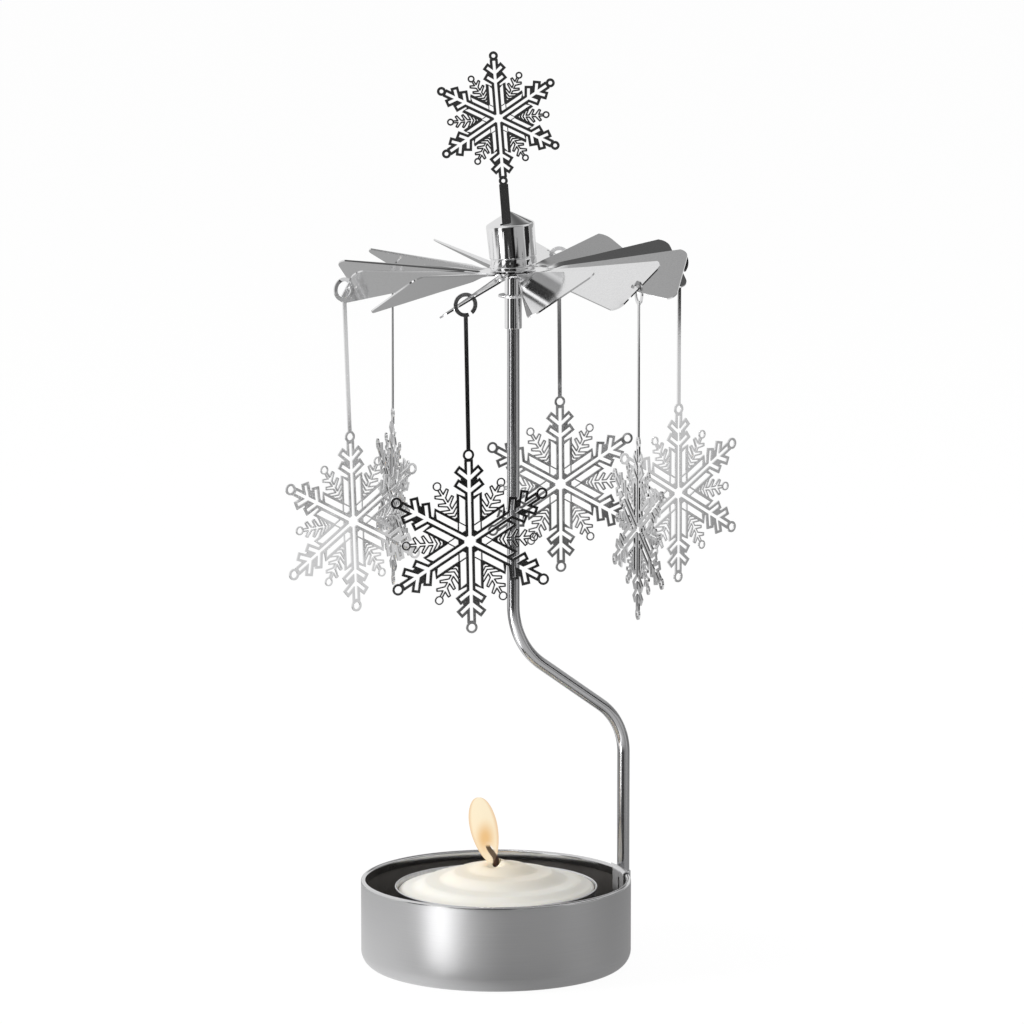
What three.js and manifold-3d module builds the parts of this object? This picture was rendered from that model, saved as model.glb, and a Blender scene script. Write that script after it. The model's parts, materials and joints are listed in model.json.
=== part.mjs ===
// Rotating tealight holder: a cup, a bent wire with a needle pivot, and a fan rotor that carries
// six snowflake charms and a snowflake topper. Millimetres, +Z up, X to the right, Y away from
// the front. The origin is the middle of the cup's flat base.

import * as THREE from 'three';
import { mergeVertices } from 'three/addons/utils/BufferGeometryUtils.js';
import Module from 'manifold-3d';

const wasm = await Module();
wasm.setup();

// Clearances
const SEAT_GAP = 0.3; // between pieces that rest on, or stand beside, each other
const PRESS_GAP = 0.15; // radial gap of pieces on one axis that are pressed together

// Cup
const CUP_DIAMETER = 50;
const CUP_HEIGHT = 16.3;
const CUP_WALL = 0.4;
const CUP_CORNER_RADIUS = 3;
const HEM_DEPTH = 1.8; // height of the folded band inside the rim
const HEM_THICKNESS = 0.9; // wall and fold together
const CUP_SEGMENTS = 40;

// Tealight
const TEALIGHT_DIAMETER = 37.5;
const TEALIGHT_HEIGHT = 14.2;
const TEALIGHT_WALL = 0.3;
const TEALIGHT_LIP = 0.35; // how far the shell's rim is rolled outward
const WAX_BELOW_RIM = 0.5;
const WAX_EDGE_RADIUS = 0.9;
const WAX_MOUND_HEIGHT = 5.9;
const WAX_TERRACES = 3; // rounded steps between the wax's edge and its middle cone
const WAX_TERRACE_DEPTH = 0.35;
const WICK_DIAMETER = 1.3;
const WICK_RISE = 4.6; // free length above the wax
const WICK_LEAN = 1.5; // sideways reach of the wick's burnt end
const WICK_STEPS = 10;
const SUSTAINER_DIAMETER = 12;
const SUSTAINER_SHEET = 0.4;
const SUSTAINER_COLLAR_HEIGHT = 2.4;
const SUSTAINER_COLLAR_WALL = 0.5;
const ROUND_SEGMENTS = 28;

// Wire and its clip
const WIRE_DIAMETER = 2.2;
const WIRE_SIDES = 10;
const STEPS_PER_BEND = 6;
const FOOT_ANGLE_DEG = 26; // where the wire's foot stands on the rim, from +X towards +Y
const FOOT_END_HEIGHT = 7.6;
const LOWER_CORNER_HEIGHT = 43.7; // where the lower upright and the slope would meet
const UPPER_CORNER_HEIGHT = 60.3; // where the slope and the upper upright would meet
const LOWER_BEND_RADIUS = 11.5;
const UPPER_BEND_RADIUS = 14;
const CLIP_SHEET = 0.5;
const CLIP_WIDTH = 7;
const CLIP_INNER_LENGTH = 7.5; // leaf inside the cup
const CLIP_OUTER_LENGTH = 8.5; // leaf and socket outside the cup
const CLIP_SLOT_WIDTH = 0.7; // slot between the two fingers of the inner leaf
const CLIP_SLOT_TOP = 1.6; // bridge left above that slot

// Pivot
const PIVOT_OFFSET = 3.2; // the rotor's axis lies this far to the right of the cup's
const SLEEVE_DIAMETER = 3.2;
const SLEEVE_BELOW_FAN = 10.5; // the sleeve's lower end, under the middle plane of the fan's hub
const SLEEVE_LENGTH = 9.3;
const WIRE_IN_SLEEVE = 3;
const COLLAR_DIAMETER = 5.6;
const COLLAR_THICKNESS = 0.45;
const COLLAR_ABOVE_SLEEVE_END = 5.8;
const NEEDLE_TAPER_LENGTH = 9;
const NEEDLE_TIP_RADIUS = 0.15;
const ROTOR_LEAN_DEG = 2; // the rotor hangs this far out of level on its needle, lower on the left
const ROTOR_SHIFT = 0.4; // and, with the play between cap and needle, this far to the left

// Fan disc
const FAN_HEIGHT = 129.5; // middle plane of its hub
const FAN_RADIUS = 31.6;
const FAN_SHEET = 0.3;
const FAN_HUB_RADIUS = 6;
const BLADE_COUNT = 12;
const FIRST_BLADE_DEG = -103.5; // direction of blade 0, from +X towards +Y
const BLADE_PITCH_DEG = 29.5; // the edge on the counter-clockwise side is the high one
const BLADE_TWIST_END = 9.5; // radius at which the full pitch is reached
const BLADE_DROOP_DEG = 1.7; // how far the blades bend down from the flat hub
const BLADE_SLIT = 1.6; // gap between neighbouring blades in the flat sheet
const BLADE_CORNER_RADIUS = 2.2;
const HOOK_HOLE_DIAMETER = 1.9;
const HOOK_HOLE_INSET = 1.15; // from the blade's end to the middle of the hole

// Hub
const CAP_DIAMETER = 8.8;
const CAP_WALL = 0.5;
const CAP_SKIRT_HEIGHT = 7.4;
const CAP_ROOF_HEIGHT = 1.95;
const CAP_LIP = 0.12; // rolled edge that stands out where skirt and roof meet
const CAP_TIP_RADIUS = 1.2;
const FERRULE_FLANGE_DIAMETER = 8.4;
const FERRULE_FLANGE_THICKNESS = 0.85;
const FERRULE_NECK_DIAMETER = 5.2;
const FERRULE_BORE = 4.1;
const FERRULE_LIP_DIAMETER = 6.2; // rolled lip under the fan
const FERRULE_LIP_THICKNESS = 0.5;
const FERRULE_SPIGOT_HEIGHT = 2.4; // stands up inside the cap
const FERRULE_SPIGOT_WALL = 0.5;
const HUB_SEGMENTS = 20;

// Etched sheets: snowflake, hook ring and strips
const ETCHED_SHEET = 0.3;
const FLAKE_RADIUS = 15.7; // flake centre to the middle of a tip ring
const CHARM_COUNT = 6; // on every second blade
const CHARM_DROP = 42.8; // ring centre to flake centre
const CHARM_STRIP_WIDTH = 0.75;
const RING_OUTER_DIAMETER = 4.4;
const RING_INNER_DIAMETER = 3.0;
const RING_SEAT_RISE = 0.7; // the sheet lies this far above the middle of a ring that points outward
const RING_OPENING_DEG = [-72, -52]; // the open part of the hook ring, from its right side
// how the photographed charms hang: direction of each flake's plane, from +X towards +Y
const CHARM_YAWS_DEG = [17, -73, 42, 21, -77, 37];
const CHARM_LEANS_DEG = [1.1, 0, 0, 0.5, 0, 2.5]; // out of plumb in that plane, lower end to the right
const TOPPER_SCALE = 0.727;
const TOPPER_STRIP_WIDTH = 1.4;
const TOPPER_CENTRE_ABOVE_CAP = 17.9; // cap apex to flake centre
const TOPPER_FORWARD = 3.1; // the strip stands this far in front of the rotor's axis
const TOPPER_SIDE = 0.8; // and, in the slit, this far to its left
const TOPPER_LEAN_DEG = 2.5; // lean of the strip to the left, seen from the front

// Colours
const METAL = { polished: 0xd8d8d8, satin: 0x9f9f9f, aluminium: 0xc9c9c9 };

const rad = THREE.MathUtils.degToRad;
const holder = new THREE.Group();
const rotor = new THREE.Group(); // leans about the needle's tip
holder.add(rotor);

// Shared helpers

/** A closed three.js geometry as a solid that can be joined and cut. */
function solidOf(geometry) {
  const bare = geometry.clone();
  for (const name of Object.keys(bare.attributes)) if (name !== 'position') bare.deleteAttribute(name);
  const merged = mergeVertices(bare, 1e-5);
  return new wasm.Manifold(new wasm.Mesh({
    numProp: 3,
    vertProperties: Float32Array.from(merged.attributes.position.array),
    triVerts: Uint32Array.from(merged.index.array),
  }));
}

/** A solid back as a geometry. */
function geometryOf(solid) {
  const mesh = solid.getMesh();
  const geometry = new THREE.BufferGeometry();
  geometry.setAttribute('position', new THREE.BufferAttribute(mesh.vertProperties, 3));
  geometry.setIndex(new THREE.BufferAttribute(mesh.triVerts, 1));
  return geometry;
}

/** Adds one named piece to the holder, or to a group of it. */
function addPiece(name, geometry, colour, roughness, metalness = 1, group = holder) {
  const flat = geometry.index ? geometry.toNonIndexed() : geometry;
  flat.computeVertexNormals();
  const material = new THREE.MeshStandardMaterial({ color: colour, roughness, metalness });
  const mesh = new THREE.Mesh(flat, material);
  mesh.name = name;
  group.add(mesh);
  return mesh;
}

/** Adds a piece that is drawn level, in the holder's own frame, to the leaning rotor. */
function addToRotor(name, geometry, colour, roughness) {
  addPiece(name, geometry, colour, roughness, 1, rotor).position.copy(needleTip).negate();
}

/** A body of revolution about Z from [radius, height] points. */
function revolve(points, segments, x = 0, y = 0) {
  const profile = points.map(([r, z]) => new THREE.Vector2(r, z));
  const geometry = new THREE.LatheGeometry(profile, segments);
  geometry.rotateX(Math.PI / 2);
  return geometry.translate(x, y, 0);
}

/** Points of an arc in a profile, from one angle to another, both in degrees. */
function arc(centreR, centreZ, radius, fromDeg, toDeg, steps) {
  return Array.from({ length: steps + 1 }, (_, i) => {
    const a = rad(fromDeg + ((toDeg - fromDeg) * i) / steps);
    return [centreR + radius * Math.cos(a), centreZ + radius * Math.sin(a)];
  });
}

/** An outline with holes as a sheet, middle plane at z = 0. */
function sheet(outline, holes, thickness) {
  const toVectors = (points) => points.map(([x, y]) => new THREE.Vector2(x, y));
  const shape = new THREE.Shape(toVectors(outline));
  shape.holes = holes.map((hole) => new THREE.Path(toVectors(hole)));
  const geometry = new THREE.ExtrudeGeometry(shape, { depth: thickness, bevelEnabled: false });
  return geometry.translate(0, 0, -thickness / 2);
}

/** A regular polygon, used for small round holes. */
function polygon(cx, cy, radius, sides, turnDeg = 0) {
  return Array.from({ length: sides }, (_, i) => {
    const a = rad(turnDeg + (360 * i) / sides);
    return [cx + radius * Math.cos(a), cy + radius * Math.sin(a)];
  });
}

/** A box between two corners. */
function box(low, high) {
  const size = high.map((v, i) => v - low[i]);
  return new THREE.BoxGeometry(...size).translate(...low.map((v, i) => v + size[i] / 2));
}

/** An upright cylinder between two heights. */
function upright(radius, bottom, top, sides, x = 0, y = 0) {
  return new THREE.CylinderGeometry(radius, radius, top - bottom, sides)
    .rotateX(Math.PI / 2).translate(x, y, (bottom + top) / 2);
}

// Cup

const CUP_RADIUS = CUP_DIAMETER / 2;
const HEM_INNER_RADIUS = CUP_RADIUS - HEM_THICKNESS;

function cupBowl() {
  const innerCorner = CUP_CORNER_RADIUS - CUP_WALL;
  const rimRadius = HEM_THICKNESS / 2;
  return revolve([
    [0, 0],
    ...arc(CUP_RADIUS - CUP_CORNER_RADIUS, CUP_CORNER_RADIUS, CUP_CORNER_RADIUS, -90, 0, 3),
    ...arc(CUP_RADIUS - rimRadius, CUP_HEIGHT - rimRadius, rimRadius, 0, 180, 3),
    [HEM_INNER_RADIUS, CUP_HEIGHT - HEM_DEPTH],
    [CUP_RADIUS - CUP_WALL, CUP_HEIGHT - HEM_DEPTH],
    ...arc(CUP_RADIUS - CUP_CORNER_RADIUS, CUP_CORNER_RADIUS, innerCorner, 0, -90, 2),
    [0, CUP_WALL],
  ], CUP_SEGMENTS);
}

addPiece('cup_bowl', cupBowl(), METAL.satin, 0.35);

// Tealight

const SHELL_RADIUS = TEALIGHT_DIAMETER / 2;
const SHELL_BOTTOM = CUP_WALL + SEAT_GAP;
const SHELL_FLOOR = SHELL_BOTTOM + TEALIGHT_WALL;
const SHELL_TOP = SHELL_BOTTOM + TEALIGHT_HEIGHT;
const WAX_EDGE_HEIGHT = SHELL_TOP - WAX_BELOW_RIM;
const WAX_RADIUS = SHELL_RADIUS - TEALIGHT_WALL - SEAT_GAP;
const WICK_RADIUS = WICK_DIAMETER / 2;
const WICK_HOLE_RADIUS = WICK_RADIUS + SEAT_GAP;
const COLLAR_TOP = SHELL_FLOOR + SEAT_GAP + SUSTAINER_COLLAR_HEIGHT;
const SUSTAINER_COLLAR_RADIUS = WICK_HOLE_RADIUS + SUSTAINER_COLLAR_WALL;

function tealightShell() {
  const floorRadius = SHELL_RADIUS - TEALIGHT_LIP;
  return revolve([
    [0, SHELL_BOTTOM],
    [floorRadius - TEALIGHT_WALL, SHELL_BOTTOM],
    [floorRadius, SHELL_BOTTOM + TEALIGHT_WALL],
    [SHELL_RADIUS - TEALIGHT_WALL / 2, SHELL_TOP - TEALIGHT_LIP],
    [SHELL_RADIUS, SHELL_TOP],
    [SHELL_RADIUS - TEALIGHT_WALL, SHELL_TOP - TEALIGHT_LIP / 2],
    [floorRadius - TEALIGHT_WALL, SHELL_FLOOR],
    [0, SHELL_FLOOR],
  ], ROUND_SEGMENTS);
}

/** Height of the wax's top at a radius: a mound of rounded terraces with a cone in the middle. */
function waxTop(r) {
  const x = Math.min(1, Math.max(0, 1 - r / (WAX_RADIUS - WAX_EDGE_RADIUS)));
  const mound = WAX_MOUND_HEIGHT * (0.55 * x + 0.45 * x ** 3);
  return WAX_EDGE_HEIGHT + mound + WAX_TERRACE_DEPTH * Math.sin(2 * Math.PI * WAX_TERRACES * x) * (1 - x);
}

function tealightWax() {
  const floorRadius = SHELL_RADIUS - TEALIGHT_LIP - TEALIGHT_WALL - SEAT_GAP;
  const rings = 3 * WAX_TERRACES;
  const topRadius = WAX_RADIUS - WAX_EDGE_RADIUS;
  const top = Array.from({ length: rings + 1 }, (_, i) => {
    const r = topRadius + ((WICK_HOLE_RADIUS - topRadius) * i) / rings;
    return [r, waxTop(r)];
  });
  const discRadius = SUSTAINER_DIAMETER / 2 + SEAT_GAP;
  const discTop = SHELL_FLOOR + 2 * SEAT_GAP + SUSTAINER_SHEET;
  return revolve([
    [discRadius, SHELL_FLOOR + SEAT_GAP],
    [floorRadius, SHELL_FLOOR + SEAT_GAP],
    [WAX_RADIUS - TEALIGHT_WALL, WAX_EDGE_HEIGHT - WAX_EDGE_RADIUS],
    ...top,
    [WICK_HOLE_RADIUS, COLLAR_TOP + SEAT_GAP],
    [SUSTAINER_COLLAR_RADIUS + SEAT_GAP, COLLAR_TOP + SEAT_GAP],
    [SUSTAINER_COLLAR_RADIUS + SEAT_GAP, discTop],
    [discRadius, discTop],
    [discRadius, SHELL_FLOOR + SEAT_GAP],
  ], ROUND_SEGMENTS);
}

function wickSustainer() {
  const bottom = SHELL_FLOOR + SEAT_GAP;
  return revolve([
    [WICK_HOLE_RADIUS, bottom],
    [SUSTAINER_DIAMETER / 2, bottom],
    [SUSTAINER_DIAMETER / 2, bottom + SUSTAINER_SHEET],
    [SUSTAINER_COLLAR_RADIUS, bottom + SUSTAINER_SHEET],
    [SUSTAINER_COLLAR_RADIUS, COLLAR_TOP],
    [WICK_HOLE_RADIUS, COLLAR_TOP],
    [WICK_HOLE_RADIUS, bottom],
  ], HUB_SEGMENTS);
}

/** The wick's middle line: upright in the wax, then leaning over to its burnt end. */
class WickCurve extends THREE.Curve {
  getPoint(t, target = new THREE.Vector3()) {
    const bottom = SHELL_FLOOR + SEAT_GAP;
    const waxApex = waxTop(WICK_HOLE_RADIUS);
    const z = bottom + (waxApex + WICK_RISE - bottom) * t;
    const free = Math.max(0, (z - waxApex) / WICK_RISE);
    return target.set(-WICK_LEAN * free * free, 0, z);
  }
}

function wick() {
  const section = new THREE.Shape(polygon(0, 0, WICK_RADIUS, 6).map(([x, y]) => new THREE.Vector2(x, y)));
  const path = new WickCurve();
  return new THREE.ExtrudeGeometry(section, { steps: WICK_STEPS, bevelEnabled: false, extrudePath: path });
}

addPiece('tealight_shell', tealightShell(), METAL.aluminium, 0.3);
addPiece('wick_sustainer', wickSustainer(), METAL.aluminium, 0.4);
addPiece('tealight_wax', tealightWax(), 0xf3efe0, 0.45, 0);
addPiece('tealight_wick', wick(), 0x3a2a20, 0.9, 0);

// Wire

const WIRE_RADIUS = WIRE_DIAMETER / 2;
const FOOT_RADIUS = CUP_RADIUS + SEAT_GAP + WIRE_RADIUS;
const SLEEVE_BOTTOM = FAN_HEIGHT - SLEEVE_BELOW_FAN;
const SLEEVE_TOP = SLEEVE_BOTTOM + SLEEVE_LENGTH;
const WIRE_TOP = SLEEVE_BOTTOM + WIRE_IN_SLEEVE;
const foot = new THREE.Vector3(
  FOOT_RADIUS * Math.cos(rad(FOOT_ANGLE_DEG)), FOOT_RADIUS * Math.sin(rad(FOOT_ANGLE_DEG)), 0);
const pivot = new THREE.Vector3(PIVOT_OFFSET, 0, 0);

/**
 * A line through corner points whose corners are arcs of given radii. Its parameter runs evenly over
 * its stations, one step on each straight and a few on each bend, and so do the rings of its tube.
 */
class BentWireCurve extends THREE.Curve {
  constructor(corners, radii) {
    super();
    this.stations = [corners[0].clone()];
    radii.forEach((radius, i) => {
      const [before, corner, after] = corners.slice(i, i + 3);
      const inward = before.clone().sub(corner).normalize();
      const outward = after.clone().sub(corner).normalize();
      const half = inward.angleTo(outward) / 2;
      const reach = radius / Math.tan(half);
      const centre = corner.clone()
        .addScaledVector(inward.clone().add(outward).normalize(), radius / Math.sin(half));
      const entry = corner.clone().addScaledVector(inward, reach).sub(centre);
      const exit = corner.clone().addScaledVector(outward, reach).sub(centre);
      const turn = Math.PI - 2 * half;
      for (let step = 0; step <= STEPS_PER_BEND; step += 1) {
        const share = step / STEPS_PER_BEND;
        this.stations.push(centre.clone()
          .addScaledVector(entry, Math.sin((1 - share) * turn) / Math.sin(turn))
          .addScaledVector(exit, Math.sin(share * turn) / Math.sin(turn)));
      }
    });
    this.stations.push(corners[corners.length - 1].clone());
  }

  get steps() {
    return this.stations.length - 1;
  }

  getPoint(t, target = new THREE.Vector3()) {
    const at = Math.min(Math.max(t, 0), 1) * this.steps;
    const i = Math.min(Math.floor(at), this.steps - 1);
    return target.lerpVectors(this.stations[i], this.stations[i + 1], at - i);
  }

  getUtoTmapping(u) {
    return u;
  }
}

function stemWire() {
  const at = (plan, z) => new THREE.Vector3(plan.x, plan.y, z);
  const corners = [
    at(foot, FOOT_END_HEIGHT), at(foot, LOWER_CORNER_HEIGHT),
    at(pivot, UPPER_CORNER_HEIGHT), at(pivot, WIRE_TOP),
  ];
  const curve = new BentWireCurve(corners, [LOWER_BEND_RADIUS, UPPER_BEND_RADIUS]);
  const section = new THREE.Shape(
    polygon(0, 0, WIRE_RADIUS, WIRE_SIDES).map(([x, y]) => new THREE.Vector2(x, y)));
  return new THREE.ExtrudeGeometry(section, { steps: curve.steps, bevelEnabled: false, extrudePath: curve });
}

addPiece('stem_wire', stemWire(), METAL.polished, 0.2);

// Rim clip, made with X along the rim's radius and Y along the rim, then turned to the foot

function rimClip() {
  const half = CLIP_WIDTH / 2;
  const top = CUP_HEIGHT + SEAT_GAP + CLIP_SHEET;
  const innerFace = Math.sqrt(HEM_INNER_RADIUS ** 2 - half ** 2) - SEAT_GAP;
  const outerFace = CUP_RADIUS + SEAT_GAP;
  const outerBottom = top - CLIP_OUTER_LENGTH;
  const innerBottom = top - CLIP_INNER_LENGTH;
  const innerBack = innerFace - CLIP_SHEET;
  const innerLeaf = solidOf(box([innerBack, -half, innerBottom], [innerFace, half, top]));
  const bridge = solidOf(box([innerBack, -half, top - CLIP_SHEET], [outerFace + CLIP_SHEET, half, top]));
  const outerLeaf = solidOf(box([outerFace, -half, outerBottom], [outerFace + CLIP_SHEET, half, top]));
  const socketRadius = WIRE_RADIUS + PRESS_GAP + CLIP_SHEET;
  const outsideCup = solidOf(
    box([outerFace, -half, outerBottom - 1], [FOOT_RADIUS + 2 * socketRadius, half, top + 1]));
  const socket = solidOf(upright(socketRadius, outerBottom, top, 16, FOOT_RADIUS)).intersect(outsideCup);
  const bore = solidOf(upright(WIRE_RADIUS + PRESS_GAP, outerBottom - 1, top + 1, 16, FOOT_RADIUS));
  const slot = solidOf(box([innerBack - CLIP_SHEET, -CLIP_SLOT_WIDTH / 2, innerBottom - 1],
    [innerFace + SEAT_GAP, CLIP_SLOT_WIDTH / 2, top - CLIP_SLOT_TOP]));
  const clip = innerLeaf.add(bridge).add(outerLeaf).add(socket).subtract(bore).subtract(slot);
  return geometryOf(clip).rotateZ(rad(FOOT_ANGLE_DEG));
}

addPiece('rim_clip', rimClip(), METAL.polished, 0.25);

// Pivot: sleeve, collar and needle

const SLEEVE_RADIUS = SLEEVE_DIAMETER / 2;
const SLEEVE_BORE_RADIUS = WIRE_RADIUS + PRESS_GAP;

function tube(outerRadius, innerRadius, bottom, top) {
  return revolve([
    [innerRadius, bottom], [outerRadius, bottom], [outerRadius, top], [innerRadius, top],
    [innerRadius, bottom],
  ], HUB_SEGMENTS, PIVOT_OFFSET);
}

const collarBottom = SLEEVE_BOTTOM + COLLAR_ABOVE_SLEEVE_END;
addPiece('pivot_sleeve', tube(SLEEVE_RADIUS, SLEEVE_BORE_RADIUS, SLEEVE_BOTTOM, SLEEVE_TOP),
  METAL.polished, 0.15);
addPiece('collar_ring', tube(COLLAR_DIAMETER / 2, SLEEVE_RADIUS + PRESS_GAP, collarBottom,
  collarBottom + COLLAR_THICKNESS), METAL.polished, 0.2);

// Hub: ferrule under the cap, clamping the fan

const FLANGE_BOTTOM = FAN_HEIGHT + FAN_SHEET / 2 + SEAT_GAP / 2;
const FLANGE_TOP = FLANGE_BOTTOM + FERRULE_FLANGE_THICKNESS;
const CAP_BOTTOM = FLANGE_TOP + SEAT_GAP / 2;
const CAP_RADIUS = CAP_DIAMETER / 2;
const CAP_INNER_RADIUS = CAP_RADIUS - CAP_WALL;
const ROOF_EDGE_HEIGHT = CAP_BOTTOM + CAP_SKIRT_HEIGHT;
const CAP_APEX = ROOF_EDGE_HEIGHT + CAP_ROOF_HEIGHT;
const CAP_TIP_DROP = CAP_TIP_RADIUS * (CAP_ROOF_HEIGHT / CAP_RADIUS) / 2; // the apex is rounded off by this
const CAP_INNER_APEX = CAP_APEX - CAP_WALL - CAP_TIP_DROP;
const NEEDLE_TIP = CAP_INNER_APEX - SEAT_GAP;
const SPIGOT_TOP = FLANGE_TOP + FERRULE_SPIGOT_HEIGHT;

function hubFerrule() {
  const lipTop = FAN_HEIGHT - FAN_SHEET / 2 - SEAT_GAP / 2;
  const spigotRadius = CAP_INNER_RADIUS - PRESS_GAP;
  return revolve([
    [FERRULE_BORE / 2, lipTop - FERRULE_LIP_THICKNESS],
    [FERRULE_LIP_DIAMETER / 2, lipTop - FERRULE_LIP_THICKNESS],
    [FERRULE_LIP_DIAMETER / 2, lipTop],
    [FERRULE_NECK_DIAMETER / 2, lipTop],
    [FERRULE_NECK_DIAMETER / 2, FLANGE_BOTTOM],
    [FERRULE_FLANGE_DIAMETER / 2, FLANGE_BOTTOM],
    [FERRULE_FLANGE_DIAMETER / 2, FLANGE_TOP],
    [spigotRadius, FLANGE_TOP],
    [spigotRadius, SPIGOT_TOP],
    [spigotRadius - FERRULE_SPIGOT_WALL, SPIGOT_TOP],
    [spigotRadius - FERRULE_SPIGOT_WALL, FLANGE_TOP],
    [FERRULE_BORE / 2, FLANGE_TOP],
    [FERRULE_BORE / 2, lipTop - FERRULE_LIP_THICKNESS],
  ], HUB_SEGMENTS, PIVOT_OFFSET);
}

function hubCap() {
  const shell = solidOf(revolve([
    [CAP_INNER_RADIUS, CAP_BOTTOM],
    [CAP_RADIUS, CAP_BOTTOM],
    [CAP_RADIUS, ROOF_EDGE_HEIGHT - 2 * CAP_LIP],
    [CAP_RADIUS + CAP_LIP, ROOF_EDGE_HEIGHT - CAP_LIP],
    [CAP_RADIUS, ROOF_EDGE_HEIGHT],
    [CAP_TIP_RADIUS, CAP_APEX - CAP_TIP_DROP],
    [CAP_TIP_RADIUS / 2, CAP_APEX - CAP_TIP_DROP / 4],
    [0, CAP_APEX],
    [0, CAP_INNER_APEX],
    [CAP_INNER_RADIUS, ROOF_EDGE_HEIGHT - CAP_WALL],
    [CAP_INNER_RADIUS, CAP_BOTTOM],
  ], HUB_SEGMENTS, PIVOT_OFFSET));
  const slitHalf = TOPPER_STRIP_WIDTH / 2 + SEAT_GAP;
  const slitDepth = ETCHED_SHEET / 2 + SEAT_GAP;
  const slitBottom = ROOF_EDGE_HEIGHT - 2 * CAP_WALL;
  const slitMiddle = PIVOT_OFFSET - TOPPER_SIDE;
  const slit = solidOf(box([slitMiddle - slitHalf, -TOPPER_FORWARD - slitDepth, slitBottom],
    [slitMiddle + slitHalf, -TOPPER_FORWARD + slitDepth, CAP_APEX]));
  return geometryOf(shell.subtract(slit));
}

function pivotNeedle() {
  const radius = SLEEVE_BORE_RADIUS - PRESS_GAP;
  return revolve([
    [0, WIRE_TOP + SEAT_GAP],
    [radius, WIRE_TOP + SEAT_GAP],
    [radius, NEEDLE_TIP - NEEDLE_TAPER_LENGTH],
    [NEEDLE_TIP_RADIUS, NEEDLE_TIP - NEEDLE_TIP_RADIUS],
    [0, NEEDLE_TIP],
  ], HUB_SEGMENTS / 2, PIVOT_OFFSET);
}

const needleTip = new THREE.Vector3(PIVOT_OFFSET, 0, NEEDLE_TIP);
rotor.position.copy(needleTip).setX(PIVOT_OFFSET - ROTOR_SHIFT);
rotor.rotation.y = -rad(ROTOR_LEAN_DEG);

addPiece('pivot_needle', pivotNeedle(), METAL.polished, 0.2);
addToRotor('hub_ferrule', hubFerrule(), METAL.polished, 0.15);
addToRotor('hub_cap', hubCap(), METAL.polished, 0.08);

// Fan disc: a flat hub ring and twelve blades twisted out of the sheet

/** Half width of a blade in the flat sheet, with its rounded outer corners. */
function bladeHalfWidth(r) {
  const straight = (radius) => radius * Math.tan(Math.PI / BLADE_COUNT) - BLADE_SLIT / 2;
  const cornerStart = FAN_RADIUS - BLADE_CORNER_RADIUS;
  if (r <= cornerStart) return straight(r);
  const into = Math.min(BLADE_CORNER_RADIUS, r - cornerStart);
  return straight(cornerStart) - BLADE_CORNER_RADIUS + Math.sqrt(BLADE_CORNER_RADIUS ** 2 - into ** 2);
}

/** Blade twist at a radius, eased from the flat hub to the full pitch. */
function bladeTwist(r) {
  const x = THREE.MathUtils.smoothstep(r, FAN_HUB_RADIUS, BLADE_TWIST_END);
  return rad(BLADE_PITCH_DEG) * x;
}

/** How far a blade has dropped below the hub at a radius. */
function bladeDrop(r) {
  return Math.max(0, r - FAN_HUB_RADIUS) * Math.tan(rad(BLADE_DROOP_DEG));
}

/** Radii of the cross lines of a blade. */
function bladeRows() {
  const twist = BLADE_TWIST_END - FAN_HUB_RADIUS;
  const corner = FAN_RADIUS - BLADE_CORNER_RADIUS;
  return [
    FAN_HUB_RADIUS - 2 * FAN_SHEET,
    ...[0, 1 / 3, 2 / 3, 1].map((share) => FAN_HUB_RADIUS + twist * share),
    corner,
    ...[30, 60, 90].map((deg) => corner + BLADE_CORNER_RADIUS * Math.sin(rad(deg))),
  ];
}

/** One blade along +X as a closed sheet: upper and lower grids joined by their edges. */
function blade() {
  const rows = bladeRows();
  const across = [-1, 1];
  const positions = [];
  for (const side of [1, -1]) {
    for (const r of rows) {
      const twist = bladeTwist(r);
      for (const share of across) {
        const s = share * bladeHalfWidth(r);
        const lift = (side * FAN_SHEET) / 2;
        const [c, q] = [Math.cos(twist), Math.sin(twist)];
        positions.push(r, s * c - lift * q, s * q + lift * c - bladeDrop(r));
      }
    }
  }
  const columns = across.length;
  const layer = rows.length * columns;
  const indices = [];
  const quad = (a, b, c, d) => indices.push(a, b, c, a, c, d);
  for (let i = 0; i < rows.length - 1; i += 1) {
    for (let j = 0; j < columns - 1; j += 1) {
      const a = i * columns + j;
      quad(a, a + columns, a + columns + 1, a + 1);
      quad(a + layer, a + layer + 1, a + layer + columns + 1, a + layer + columns);
    }
    const low = i * columns;
    const high = low + columns - 1;
    quad(low, low + layer, low + layer + columns, low + columns);
    quad(high, high + columns, high + layer + columns, high + layer);
  }
  for (let j = 0; j < columns - 1; j += 1) {
    const end = (rows.length - 1) * columns + j;
    quad(j, j + 1, j + 1 + layer, j + layer);
    quad(end, end + layer, end + layer + 1, end + 1);
  }
  const geometry = new THREE.BufferGeometry();
  geometry.setAttribute('position', new THREE.Float32BufferAttribute(positions, 3));
  geometry.setIndex(indices);
  return geometry;
}

const bladeAngle = (i) => rad(FIRST_BLADE_DEG + (360 * i) / BLADE_COUNT);
const hookBlades = Array.from({ length: CHARM_COUNT }, (_, i) => (i * BLADE_COUNT) / CHARM_COUNT);

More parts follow.
